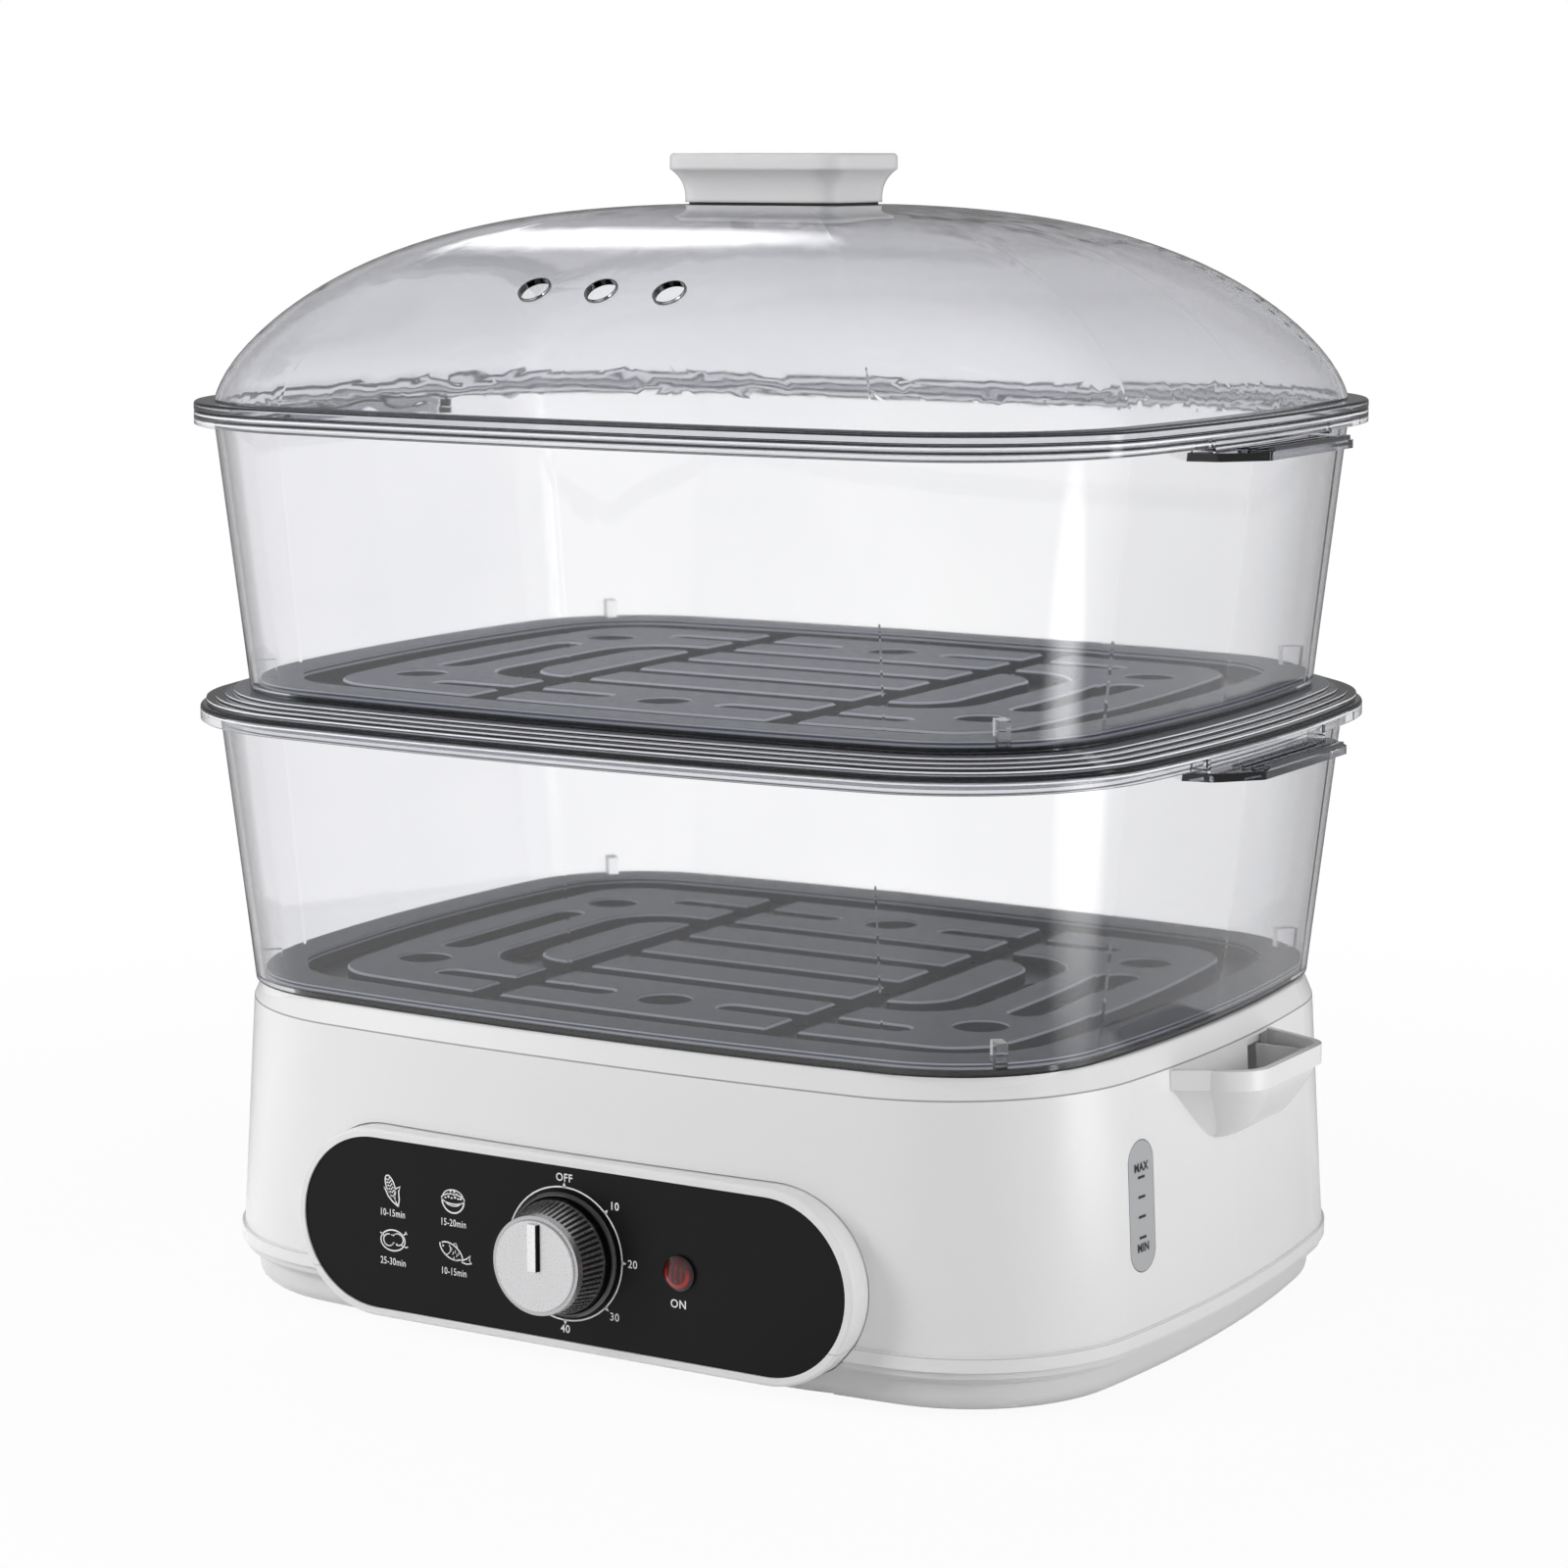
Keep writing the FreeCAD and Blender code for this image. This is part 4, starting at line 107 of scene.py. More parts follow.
def ramp(tree, value, low, high, from_low=0.3, from_high=0.7):
    """Low to high while the value runs from from_low to from_high, held beyond them."""
    node = tree.nodes.new("ShaderNodeMapRange")
    node.inputs["From Min"].default_value = from_low
    node.inputs["From Max"].default_value = from_high
    node.inputs["To Min"].default_value = low
    node.inputs["To Max"].default_value = high
    tree.links.new(value, node.inputs["Value"])
    return node.outputs["Result"]


def blend_colour(tree, fac, a, b):
    """Colour socket between the colours a and b."""
    node = tree.nodes.new("ShaderNodeMix")
    node.data_type = "RGBA"
    node.inputs[6].default_value = (*a, 1)
    node.inputs[7].default_value = (*b, 1)
    tree.links.new(fac, node.inputs[0])
    return node.outputs[2]


def bumped(tree, shader, height, strength, depth):
    """Bump from a height socket; returns the node, so that another normal can go in under it."""
    node = tree.nodes.new("ShaderNodeBump")
    node.inputs["Strength"].default_value = strength
    node.inputs["Distance"].default_value = depth
    tree.links.new(height, node.inputs["Height"])
    tree.links.new(node.outputs["Normal"], shader.inputs["Normal"])
    return node


def shade(colour, k):
    """The colour times k, held at white."""
    return tuple(min(1.0, c * k) for c in colour)


def maths(tree, operation, a, b=None):
    """One Math node; a and b are sockets or numbers."""
    node = tree.nodes.new("ShaderNodeMath")
    node.operation = operation
    for place, value in enumerate((a, b)):
        if value is None:
            continue
        if isinstance(value, (int, float)):
            node.inputs[place].default_value = value
        else:
            tree.links.new(value, node.inputs[place])
    return node.outputs[0]


def distance(tree, across, up):
    """Length of the vector (across, up)."""
    return maths(tree, "SQRT", maths(tree, "ADD", maths(tree, "MULTIPLY", across, across),
                                     maths(tree, "MULTIPLY", up, up)))


def position(tree):
    """X, Y and Z sockets of the object's own coordinates."""
    coord = tree.nodes.new("ShaderNodeTexCoord")
    split = tree.nodes.new("ShaderNodeSeparateXYZ")
    tree.links.new(coord.outputs["Object"], split.inputs["Vector"])
    return split.outputs


def between(tree, value, low, high, soft):
    """1 where the value lies between low and high, 0 outside."""
    rise = ramp(tree, value, 0, 1, low - soft, low + soft)
    fall = ramp(tree, value, 1, 0, high - soft, high + soft)
    return maths(tree, "MULTIPLY", rise, fall)


def painted(tree, under, mask, colour):
    """The colour laid over a colour socket where the mask is 1."""
    node = tree.nodes.new("ShaderNodeMix")
    node.data_type = "RGBA"
    node.inputs[7].default_value = (*colour, 1)
    tree.links.new(under, node.inputs[6])
    tree.links.new(mask, node.inputs[0])
    return node.outputs[2]


def plastic(name, colour, rough, grain=900.0, grain_bump=0.00002, mottle=0.03, spread=0.08, coat=0.0,
            metallic=0.0, specular=0.5, wave=0.0, marks=None):
    """Moulded plastic, rubber, paint or metal: fine grain, slow mottling and uneven gloss.

    marks(tree, colour socket) may return another colour socket."""
    mat, tree, out = graph(name)
    shader = tree.nodes.new("ShaderNodeBsdfPrincipled")
    slow = noise(tree, 18.0, 3.0)
    fine = noise(tree, grain, 2.0)
    colour_link = blend_colour(tree, ramp(tree, slow, 0, 1),
                               shade(colour, 1 - mottle), shade(colour, 1 + mottle))
    if marks:
        colour_link = marks(tree, colour_link)
    tree.links.new(colour_link, shader.inputs["Base Color"])
    tree.links.new(ramp(tree, fine, rough - spread / 2, rough + spread / 2), shader.inputs["Roughness"])
    bump = bumped(tree, shader, fine, 0.6, grain_bump)
    if wave:
        second = tree.nodes.new("ShaderNodeBump")
        second.inputs["Strength"].default_value = 1.0
        second.inputs["Distance"].default_value = wave
        tree.links.new(slow, second.inputs["Height"])
        tree.links.new(second.outputs["Normal"], bump.inputs["Normal"])
    shader.inputs["Metallic"].default_value = metallic
    shader.inputs["Specular IOR Level"].default_value = specular
    shader.inputs["Coat Weight"].default_value = coat
    shader.inputs["Coat Roughness"].default_value = 0.08
    tree.links.new(shader.outputs[0], out.inputs["Surface"])
    return mat


def height_mask(tree, bands, soft):
    """1 inside the given (low, high) bands of height."""
    z = position(tree)[2]
    total = None
    for low, high in bands:
        band = between(tree, z, low, high, soft)
        total = band if total is None else maths(tree, "MAXIMUM", total, band)
    return total


def edge_tint(tree, colour_link, stops):
    """Colour socket darkened towards surfaces seen edge-on, as a tinted wall looks."""
    weight = tree.nodes.new("ShaderNodeLayerWeight")
    weight.inputs["Blend"].default_value = 0.5
    curve = tree.nodes.new("ShaderNodeValToRGB")
    curve.color_ramp.interpolation = "LINEAR"
    points = curve.color_ramp.elements
    while len(points) < len(stops):
        points.new(0.5)
    for point, (place, value) in zip(points, stops):
        point.position = place
        point.color = (value, value, min(1.0, value * 1.02 + 0.002), 1)
    tree.links.new(weight.outputs["Facing"], curve.inputs["Fac"])
    node = tree.nodes.new("ShaderNodeMix")
    node.data_type = "RGBA"
    node.blend_type = "MULTIPLY"
    node.inputs[0].default_value = 1.0
    tree.links.new(colour_link, node.inputs[6])
    tree.links.new(curve.outputs["Color"], node.inputs[7])
    return node.outputs[2]


def clear(name, tint, absorb, density, rough=0.02, transmission=1.0, bands=(), lines=(), glints=(),
          grips=False, shadow=(0.9, 0.9, 0.92), wave=0.00003, haze=0.02, stops=(), specular=0.5,
          marks=None, soft_edge=0.0):
    """Clear or smoky plastic with absorption through its thickness and slight moulding waves.

    bands, lines and glints are (low, high) heights: bands are tinted as the rim, lines get painted shade and
    glints painted highlights.
    stops tint the wall by the angle it is seen at; grips darkens what lies beyond GRIP_X."""
    mat, tree, out = graph(name)
    shader = tree.nodes.new("ShaderNodeBsdfPrincipled")
    slow = noise(tree, 14.0, 2.0)
    fine = noise(tree, 260.0, 3.0)
    light = blend_colour(tree, ramp(tree, slow, 0, 1), shade(tint, 0.985), shade(tint, 1.015))
    if stops:
        light = edge_tint(tree, light, stops)
    if bands:
        light = painted(tree, light, height_mask(tree, bands, 0.0005), RIM_TINT)
    if grips:
        reach = maths(tree, "ABSOLUTE", position(tree)[0])
        light = painted(tree, light, ramp(tree, reach, 0, 1, GRIP_X - 0.0005, GRIP_X + 0.0005), GRIP_TINT)
    # painted shade lines
    if lines:
        light = painted(tree, light, height_mask(tree, lines, 0.00012), RIM_SHADE)
    if marks:
        light = marks(tree, light)
    # painted highlights, opaque where they lie
    if glints:
        catch = height_mask(tree, glints, 0.00004)
        light = painted(tree, light, catch, GLINT_WHITE)
        tree.links.new(maths(tree, "MULTIPLY", maths(tree, "SUBTRACT", 1.0, catch), transmission),
                       shader.inputs["Transmission Weight"])
    tree.links.new(light, shader.inputs["Base Color"])
    tree.links.new(ramp(tree, fine, rough, rough + haze), shader.inputs["Roughness"])
    bump = bumped(tree, shader, slow, 0.5, wave)
    if soft_edge:
        edge = tree.nodes.new("ShaderNodeBevel")
        edge.samples = 4
        edge.inputs["Radius"].default_value = soft_edge
        tree.links.new(edge.outputs["Normal"], bump.inputs["Normal"])
    shader.inputs["Specular IOR Level"].default_value = specular
    shader.inputs["IOR"].default_value = CLEAR_IOR
    shader.inputs["Transmission Weight"].default_value = transmission
    pass_light = tree.nodes.new("ShaderNodeBsdfTransparent")
    pass_light.inputs["Color"].default_value = (*shadow, 1)
    path = tree.nodes.new("ShaderNodeLightPath")
    mix = tree.nodes.new("ShaderNodeMixShader")
    tree.links.new(path.outputs["Is Shadow Ray"], mix.inputs[0])
    tree.links.new(shader.outputs[0], mix.inputs[1])
    tree.links.new(pass_light.outputs[0], mix.inputs[2])
    tree.links.new(mix.outputs[0], out.inputs["Surface"])
    volume = tree.nodes.new("ShaderNodeVolumeAbsorption")
    volume.inputs["Color"].default_value = (*absorb, 1)
    volume.inputs["Density"].default_value = density
    tree.links.new(volume.outputs[0], out.inputs["Volume"])
    return mat


def seam_lines(tree, colour_link):
    """Fine shadow lines of the white housing: the tank seam and the bead over the belt."""
    z = position(tree)[2]
    seam = between(tree, z, TANK_SEAM_Z - 0.00025, TANK_SEAM_Z + 0.00025, 0.00008)
    bead = between(tree, z, BELT_BEAD_Z - 0.0002, BELT_BEAD_Z + 0.0002, 0.00008)
    both = maths(tree, "MAXIMUM", maths(tree, "MULTIPLY", seam, 0.75), maths(tree, "MULTIPLY", bead, 0.35))
    return painted(tree, colour_link, both, SHADOW_LINE_GREY)


def pan_foot_shadow(tree, colour_link):
    """Painted shadow round the foot of the pan, where the feet lift it off the floor."""
    z = position(tree)[2]
    foot = maths(tree, "MULTIPLY", ramp(tree, z, 1, 0, 0.0028, 0.0036), 0.55)
    return painted(tree, colour_link, foot, SHADOW_LINE_GREY)


def knob_flute_shade(tree, colour_link):
    """Painted shade in the flutes between bright ridges on the knob's skirt, and a dark base."""
    x, y, z = position(tree)
    turn = maths(tree, "ARCTAN2", x, maths(tree, "SUBTRACT", z, KNOB_Z))
    flute = ramp(tree, maths(tree, "COSINE", maths(tree, "MULTIPLY", turn, KNOB_FLUTES)), 0, 0.9, -0.7, 0.5)
    along = between(tree, y, KNOB_FRONT + 0.0022, KNOB_FRONT + 0.0112, 0.0002)
    dark = maths(tree, "MULTIPLY", flute, along)
    base = ramp(tree, y, 0, 1, KNOB_FRONT + 0.0108, KNOB_FRONT + 0.0118)
    return painted(tree, colour_link, maths(tree, "MAXIMUM", dark, base), FLUTE_SHADE)


def pointer_light_and_shade(tree, colour_link):
    """Painted highlight on the raised pointer and painted shade on its right flank, on the knob's cap."""
    x, y, z = position(tree)
    tall = between(tree, z, KNOB_Z - 0.0015, KNOB_Z + 0.0132, 0.0001)
    raised = ramp(tree, y, 1, 0, KNOB_FRONT - 0.0012, KNOB_FRONT - 0.0009)
    bar = maths(tree, "MULTIPLY", between(tree, x, -0.0017, 0.0017, 0.00005), tall)
    light = maths(tree, "MULTIPLY", bar, raised)
    flank = maths(tree, "MULTIPLY", between(tree, x, 0.00135, 0.0023, 0.0001), tall)
    # painted highlight on the pointer's face, then painted shade on its right flank
    lit = painted(tree, colour_link, light, (0.90, 0.90, 0.90))
    return painted(tree, lit, flank, (0.03, 0.03, 0.032))


def lens_flutes(tree, colour_link):
    """Inner bars, a painted highlight in a ring over the lower part, and a darker edge ring of the jewel lens.
    """
    x, _, z = position(tree)
    across = maths(tree, "SUBTRACT", x, LAMP_X)
    up = maths(tree, "SUBTRACT", z, KNOB_Z)
    radius = distance(tree, across, up)
    bars = ramp(tree, maths(tree, "COSINE", maths(tree, "MULTIPLY", across, LENS_BARS)), 0, 1, 0.1, 0.9)
    inner = maths(tree, "MULTIPLY", bars, ramp(tree, radius, 1, 0, 0.0026, 0.0034))
    lit = painted(tree, colour_link, inner, (0.16, 0.005, 0.005))
    # painted highlight: lighter red ring over the lower part of the lens
    low = ramp(tree, up, 1, 0, -0.001, 0.002)
    glow = maths(tree, "MULTIPLY", between(tree, radius, 0.0033, 0.0044, 0.0003), low)
    lit = painted(tree, lit, glow, (0.42, 0.014, 0.010))
    return painted(tree, lit, ramp(tree, radius, 0, 1, 0.0047, 0.0052), (0.012, 0.004, 0.004))


def vent_bore_shade(tree, colour_link):
    """Painted shade on the bore walls of the three steam holes in the lid."""
    coord = tree.nodes.new("ShaderNodeTexCoord")
    nearest = None
    for centre in VENTS:
        offset = tree.nodes.new("ShaderNodeVectorMath")
        offset.operation = "SUBTRACT"
        offset.inputs[1].default_value = centre
        tree.links.new(coord.outputs["Object"], offset.inputs[0])
        across = tree.nodes.new("ShaderNodeVectorMath")
        across.operation = "CROSS_PRODUCT"
        across.inputs[1].default_value = VENT_AXIS
        tree.links.new(offset.outputs["Vector"], across.inputs[0])
        length = tree.nodes.new("ShaderNodeVectorMath")
        length.operation = "LENGTH"
        tree.links.new(across.outputs["Vector"], length.inputs[0])
        gap = length.outputs["Value"]
        nearest = gap if nearest is None else maths(tree, "MINIMUM", nearest, gap)
    _, y, z = position(tree)
    high = ramp(tree, z, 0, 1, 0.316, 0.318)
    front = ramp(tree, y, 1, 0, -0.02, 0.0)
    inside = ramp(tree, nearest, 1, 0, VENT_RADIUS - 0.0001, VENT_RADIUS + 0.0001)
    ring = maths(tree, "MULTIPLY", maths(tree, "MULTIPLY", inside, high), front)
    # painted shade in the bores
    return painted(tree, colour_link, ring, (0.03, 0.03, 0.035))


def tray_shade_and_highlights(tree, colour_link):
    """Painted shade in the grooves and gutter, under painted highlights along the edges round the bars and the
    rim of both trays.
    """
    groove_shade = height_mask(tree, [(seat - 0.0040, seat + 0.0018) for seat in SEATS], 0.0001)
    lip_highlights = height_mask(tree, [(seat + 0.0020, seat + 0.00272) for seat in SEATS], 0.00004)
    rims = height_mask(tree, [(seat + 0.0034, seat + 0.00392) for seat in SEATS], 0.00004)
    # painted shade in the grooves and gutter, then painted highlights on the lips and rims
    lit = painted(tree, colour_link, groove_shade, (0.012, 0.016, 0.026))
    return painted(tree, lit, maths(tree, "MAXIMUM", lip_highlights, rims), (0.40, 0.415, 0.46))


def ring_step_shade(tree, colour_link):
    """Painted shade on the risers of the stacking ring's steps."""
    dark = height_mask(tree, [(top - 0.00088, top - 0.00052) for top in RING_TOPS], 0.00005)
    return painted(tree, colour_link, dark, (0.012, 0.013, 0.016))


# how light a wall lets through, from seen straight on (0) to seen edge-on (1)
wall_stops = [(0.0, 1.0), (0.15, 0.995), (0.27, 0.96), (0.45, 0.81), (0.60, 0.73), (0.68, 0.47), (0.85, 0.30),
              (1.0, 0.04)]
lid_stops = [(0.0, 1.0), (0.25, 0.98), (0.34, 0.93), (0.45, 0.81), (0.53, 0.74), (0.62, 0.70), (0.70, 0.73),
             (0.78, 0.76), (0.88, 0.60), (1.0, 0.08)]
materials = {
    "white_shell": plastic("white_shell", (0.80, 0.80, 0.80), 0.22, mottle=0.006, spread=0.02, wave=0.00005,
                           grain=700.0, grain_bump=0.000002, coat=0.2, marks=seam_lines),
    # the pan's grey is partly its own white and partly painted shade, set darker for the shade on its right
    # end; its marks add a painted shadow round its foot
    "white_pan": plastic("white_pan", (0.68, 0.68, 0.685), 0.36, mottle=0.008, spread=0.04, grain=900.0,
                         grain_bump=0.000004, marks=pan_foot_shadow),
    "rubber": plastic("rubber", (0.035, 0.035, 0.037), 0.75, mottle=0.15, grain=2200.0, grain_bump=0.00006),
    "gasket": plastic("gasket", (0.035, 0.035, 0.038), 0.6, mottle=0.1, grain=1800.0),
    "screw_steel": plastic("screw_steel", (0.55, 0.55, 0.56), 0.32, metallic=1.0, mottle=0.06, grain=2600.0),
    "window_clear": plastic("window_clear", (0.42, 0.425, 0.44), 0.22, mottle=0.02, coat=0.2),
    "panel_black": plastic("panel_black", (0.006, 0.006, 0.0064), 0.36, mottle=0.1, spread=0.05, grain=1600.0,
                           grain_bump=0.000004, specular=0.16),
    "timer_black": plastic("timer_black", (0.03, 0.03, 0.032), 0.5, mottle=0.1),
    "bell_steel": plastic("bell_steel", (0.6, 0.6, 0.61), 0.28, metallic=1.0, mottle=0.05),
    "shaft_steel": plastic("shaft_steel", (0.62, 0.60, 0.56), 0.3, metallic=1.0, mottle=0.06),
    "knob_grey": plastic("knob_grey", (0.50, 0.50, 0.51), 0.28, metallic=0.9, mottle=0.03, grain=2400.0,
                         marks=knob_flute_shade),
    "cap_silver": plastic("cap_silver", (0.68, 0.68, 0.69), 0.30, metallic=0.7, mottle=0.02, grain=3000.0,
                          marks=pointer_light_and_shade),
    "lens_red": plastic("lens_red", (0.045, 0.0025, 0.0025), 0.16, mottle=0.1, grain=1200.0, coat=0.15,
                        marks=lens_flutes),
    "lamp_glass": clear("lamp_glass", (0.9, 0.85, 0.8), (0.9, 0.8, 0.7), 20.0, rough=0.02),
    "stainless": plastic("stainless", (0.58, 0.58, 0.58), 0.26, metallic=1.0, mottle=0.05, grain=1500.0),
    "thermostat_grey": plastic("thermostat_grey", (0.45, 0.45, 0.43), 0.4, metallic=0.6, mottle=0.06),
    "guide_grey": plastic("guide_grey", (0.42, 0.43, 0.45), 0.45, mottle=0.04),
    "wire_brown": plastic("wire_brown", (0.13, 0.045, 0.02), 0.42, mottle=0.08),
    "wire_blue": plastic("wire_blue", (0.02, 0.09, 0.32), 0.42, mottle=0.08),
    "terminal_white": plastic("terminal_white", (0.70, 0.69, 0.65), 0.5, mottle=0.03),
    # its lines are painted shade at the bowls' feet and rims, its glints painted highlights
    "clear_grey": clear("clear_grey", (0.990, 0.991, 0.995), (0.30, 0.32, 0.40), 12.0, stops=wall_stops,
                        bands=[(0.1908, 0.1961), (0.2865, 0.2918)], grips=True,
                        lines=[(0.1049, 0.1056), (0.1906, 0.1911), (0.1951, 0.1962),
                               (0.2006, 0.2013), (0.2862, 0.2870), (0.2888, 0.2895), (0.2911, 0.2920)],
                        glints=[(0.1942, 0.1947), (0.2881, 0.2885), (0.2903, 0.2908)]),
    # the stacking ring: painted shade on its risers and painted highlights along the tops of its steps
    "ring_clear": clear("ring_clear", (0.31, 0.322, 0.36), (0.25, 0.28, 0.36), 50.0, shadow=(0.5, 0.5, 0.55),
                        marks=ring_step_shade, glints=[(top - 0.00048, top - 0.00003) for top in RING_TOPS]),
    "tray_smoke": clear("tray_smoke", SMOKE, (0.25, 0.28, 0.34), 60.0, rough=0.28, haze=0.08, wave=0.00001,
                        transmission=0.12, shadow=(0.3, 0.31, 0.34), specular=0.02, soft_edge=0.0003,
                        marks=tray_shade_and_highlights),
    "drip_smoke": clear("drip_smoke", SMOKE, (0.25, 0.28, 0.34), 60.0, rough=0.30, haze=0.12,
                        transmission=0.12, shadow=(0.3, 0.31, 0.34), specular=0.28),
    "handle_clear": clear("handle_clear", (0.88, 0.88, 0.883), (0.5, 0.52, 0.56), 14.0, rough=0.20,
                          transmission=0.10, shadow=(0.6, 0.6, 0.62), soft_edge=0.0015),
    "handle_plate": clear("handle_plate", (0.50, 0.505, 0.52), (0.5, 0.52, 0.56), 14.0, rough=0.20,
                          transmission=0.10, shadow=(0.6, 0.6, 0.62), soft_edge=0.0008),
    # its lines are painted shade along the lid's flange
    "lid_clear": clear("lid_clear", (0.965, 0.966, 0.974), (0.30, 0.32, 0.40), 30.0, rough=0.025,
                       bands=[(0.2880, 0.2946)], lines=[(0.2878, 0.2885), (0.2937, 0.2947)],
                       stops=lid_stops, marks=vent_bore_shade),
}
ink = plastic("ink", (0.86, 0.86, 0.86), 0.5, mottle=0.06, grain=3000.0)
dark_ink = plastic("dark_ink", (0.012, 0.012, 0.012), 0.5, mottle=0.1, grain=3000.0)
dark_chrome = plastic("dark_chrome", (0.05, 0.05, 0.053), 0.12, metallic=0.6, mottle=0.06,
                      grain=2400.0, coat=0.6)

slots = {row["node"]: row["material_slot"] for row in frame["record"]["subparts"]}
for name, obj in nodes.items():
    obj.data.materials.clear()
    obj.data.materials.append(materials[slots[name]])
# the dome and the plate share a slot with other clear pieces, but look a little different
nodes["lid_dome"].data.materials[0] = materials["lid_clear"]
nodes["handle_plate"].data.materials[0] = materials["handle_plate"]


# ------------------------------------------------------------------ printing
def mesh_object(name, verts, faces, mat, body):
    """Piece from points and faces, riding on a body, with the given material."""
    mesh = bpy.data.meshes.new(name)
    mesh.from_pydata(verts, [], faces)
    mesh.update()
    mesh.materials.append(mat)
    obj = bpy.data.objects.new(name, mesh)
    bpy.context.scene.collection.objects.link(obj)
    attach(obj, body)


class Print:
    """Flat marks in a plane: u to the right, v up, in millimetres."""

    def __init__(self):
        self.verts = []
        self.faces = []

    def polygon(self, points):
        start = len(self.verts)
        self.verts += points
        self.faces.append(list(range(start, start + len(points))))

    def stroke(self, points, width, closed=False):
        """Line of even width through points, with mitred corners."""
        count = len(points)
        sides = []
        for i in range(count):
            before = points[(i - 1) % count] if closed or i else points[i]
            after = points[(i + 1) % count] if closed or i < count - 1 else points[i]
            run = Vector((after[0] - before[0], after[1] - before[1])).normalized()
            across = Vector((-run.y, run.x)) * width / 2
            here = Vector(points[i])
            sides.append((here + across, here - across))
        for i in range(count if closed else count - 1):
            a, b = sides[i], sides[(i + 1) % count]
            self.polygon([tuple(a[1]), tuple(b[1]), tuple(b[0]), tuple(a[0])])

    def arc(self, centre, radius, start, end, width, squash=1.0, steps=24, tilt=0.0):
        points = []
        for i in range(steps + 1):
            turn = math.radians(start + (end - start) * i / steps)
            x, y = radius * math.cos(turn), radius * squash * math.sin(turn)
            lean = math.radians(tilt)
            points.append((centre[0] + x * math.cos(lean) - y * math.sin(lean),
                           centre[1] + x * math.sin(lean) + y * math.cos(lean)))
        self.stroke(points, width)

    def dot(self, centre, radius, squash=1.0):
        self.polygon([(centre[0] + radius * math.cos(math.tau * i / 12),
                       centre[1] + radius * squash * math.sin(math.tau * i / 12)) for i in range(12)])

    def text(self, words, height, u, v, stretch=1.0, bold=0.018):
        """Words centred on (u, v), capitals of the given height."""
        curve = bpy.data.curves.new("words", "FONT")
        curve.body = words
        curve.size = height / CAPITAL_SHARE
        curve.align_x = "CENTER"
        curve.align_y = "CENTER"
        curve.resolution_u = 3
        curve.offset = height * bold
        curve.space_character = 1.08
        holder = bpy.data.objects.new("words", curve)
        bpy.context.scene.collection.objects.link(holder)
        graph_now = bpy.context.evaluated_depsgraph_get()
        mesh = bpy.data.meshes.new_from_object(holder.evaluated_get(graph_now))
        start = len(self.verts)
        self.verts += [(p.co.x * stretch + u, p.co.y + v) for p in mesh.vertices]
        self.faces += [[start + i for i in face.vertices] for face in mesh.polygons]
        bpy.data.objects.remove(holder)
        bpy.data.meshes.remove(mesh)
        bpy.data.curves.remove(curve)

    def shift(self, u, v):
        self.verts = [(x + u, y + v) for x, y in self.verts]
        return self

    def add(self, other):
        start = len(self.verts)
        self.verts += other.verts
        self.faces += [[start + i for i in face] for face in other.faces]


def corn():
    p = Print()
    lean = math.radians(112)

    def at(s, t):
        return (-0.7 + s * math.cos(lean) - t * math.sin(lean), 1.5 + s * math.sin(lean) + t * math.cos(lean))

    p.arc((-0.7, 1.5), 3.5, 0, 360, 0.42, squash=0.46, tilt=112)
    for row in range(-1, 2):
        for k in range(-2, 3):
            p.dot(at(k * 1.05 + 0.3 * (row % 2), row * 0.72), 0.30)
    p.stroke([(2.3, -4.9), (0.2, -3.6), (-1.6, -1.9), (-3.1, 0.9), (-1.5, -0.2), (-0.3, -2.0)], 0.46)
    p.stroke([(2.3, -4.9), (2.7, -2.6), (2.5, 0.0), (3.1, 1.7), (1.4, 0.8), (0.8, -1.2), (1.2, -3.2)], 0.46)
    p.stroke([(0.4, -1.2), (0.9, -2.6), (2.0, -4.4)], 0.36)
    return p


def rice_bowl():
    p = Print()
    p.arc((0, 1.0), 4.3, 180, 360, 0.52, squash=1.04)
    p.arc((0, 1.0), 4.4, 0, 360, 0.44, squash=0.36)
    p.arc((0, 1.4), 3.9, 10, 170, 0.36, squash=0.66)
    for k, (u, v) in enumerate([(-2.9, 1.2), (-1.7, 1.6), (-0.5, 1.3), (0.8, 1.6), (2.0, 1.3), (3.0, 1.4),
                                (-2.1, 2.5), (-0.9, 2.7), (0.3, 2.4), (1.5, 2.7), (-0.9, 3.5), (0.5, 3.4)]):
        p.dot((u, v), 0.42, 0.7 + 0.2 * (k % 2))
    p.arc((0, 0.6), 3.3, 200, 340, 0.34, squash=0.55)
    return p


def roast():
    p = Print()
    p.arc((0.0, 0.2), 4.7, 0, 360, 0.46, squash=0.72, tilt=4)
    p.arc((-1.6, 0.2), 2.0, 60, 320, 0.38, squash=0.95, tilt=20)
    p.arc((1.9, 0.7), 2.1, -110, 150, 0.38, squash=0.9)
    p.stroke([(3.6, 1.9), (5.0, 3.1), (5.6, 2.9)], 0.42)
    p.stroke([(5.0, 3.1), (5.1, 3.7)], 0.42)
    p.stroke([(3.3, -1.0), (5.2, -1.5), (5.8, -1.1)], 0.42)
    p.stroke([(-3.4, 1.4), (-4.9, 2.3)], 0.42)
    for u, v in ((-0.4, 1.9), (0.7, 2.2), (0.3, -0.6), (1.4, -0.9), (-0.6, -1.4)):
        p.stroke([(u - 0.35, v), (u + 0.35, v + 0.15)], 0.26)
    return p


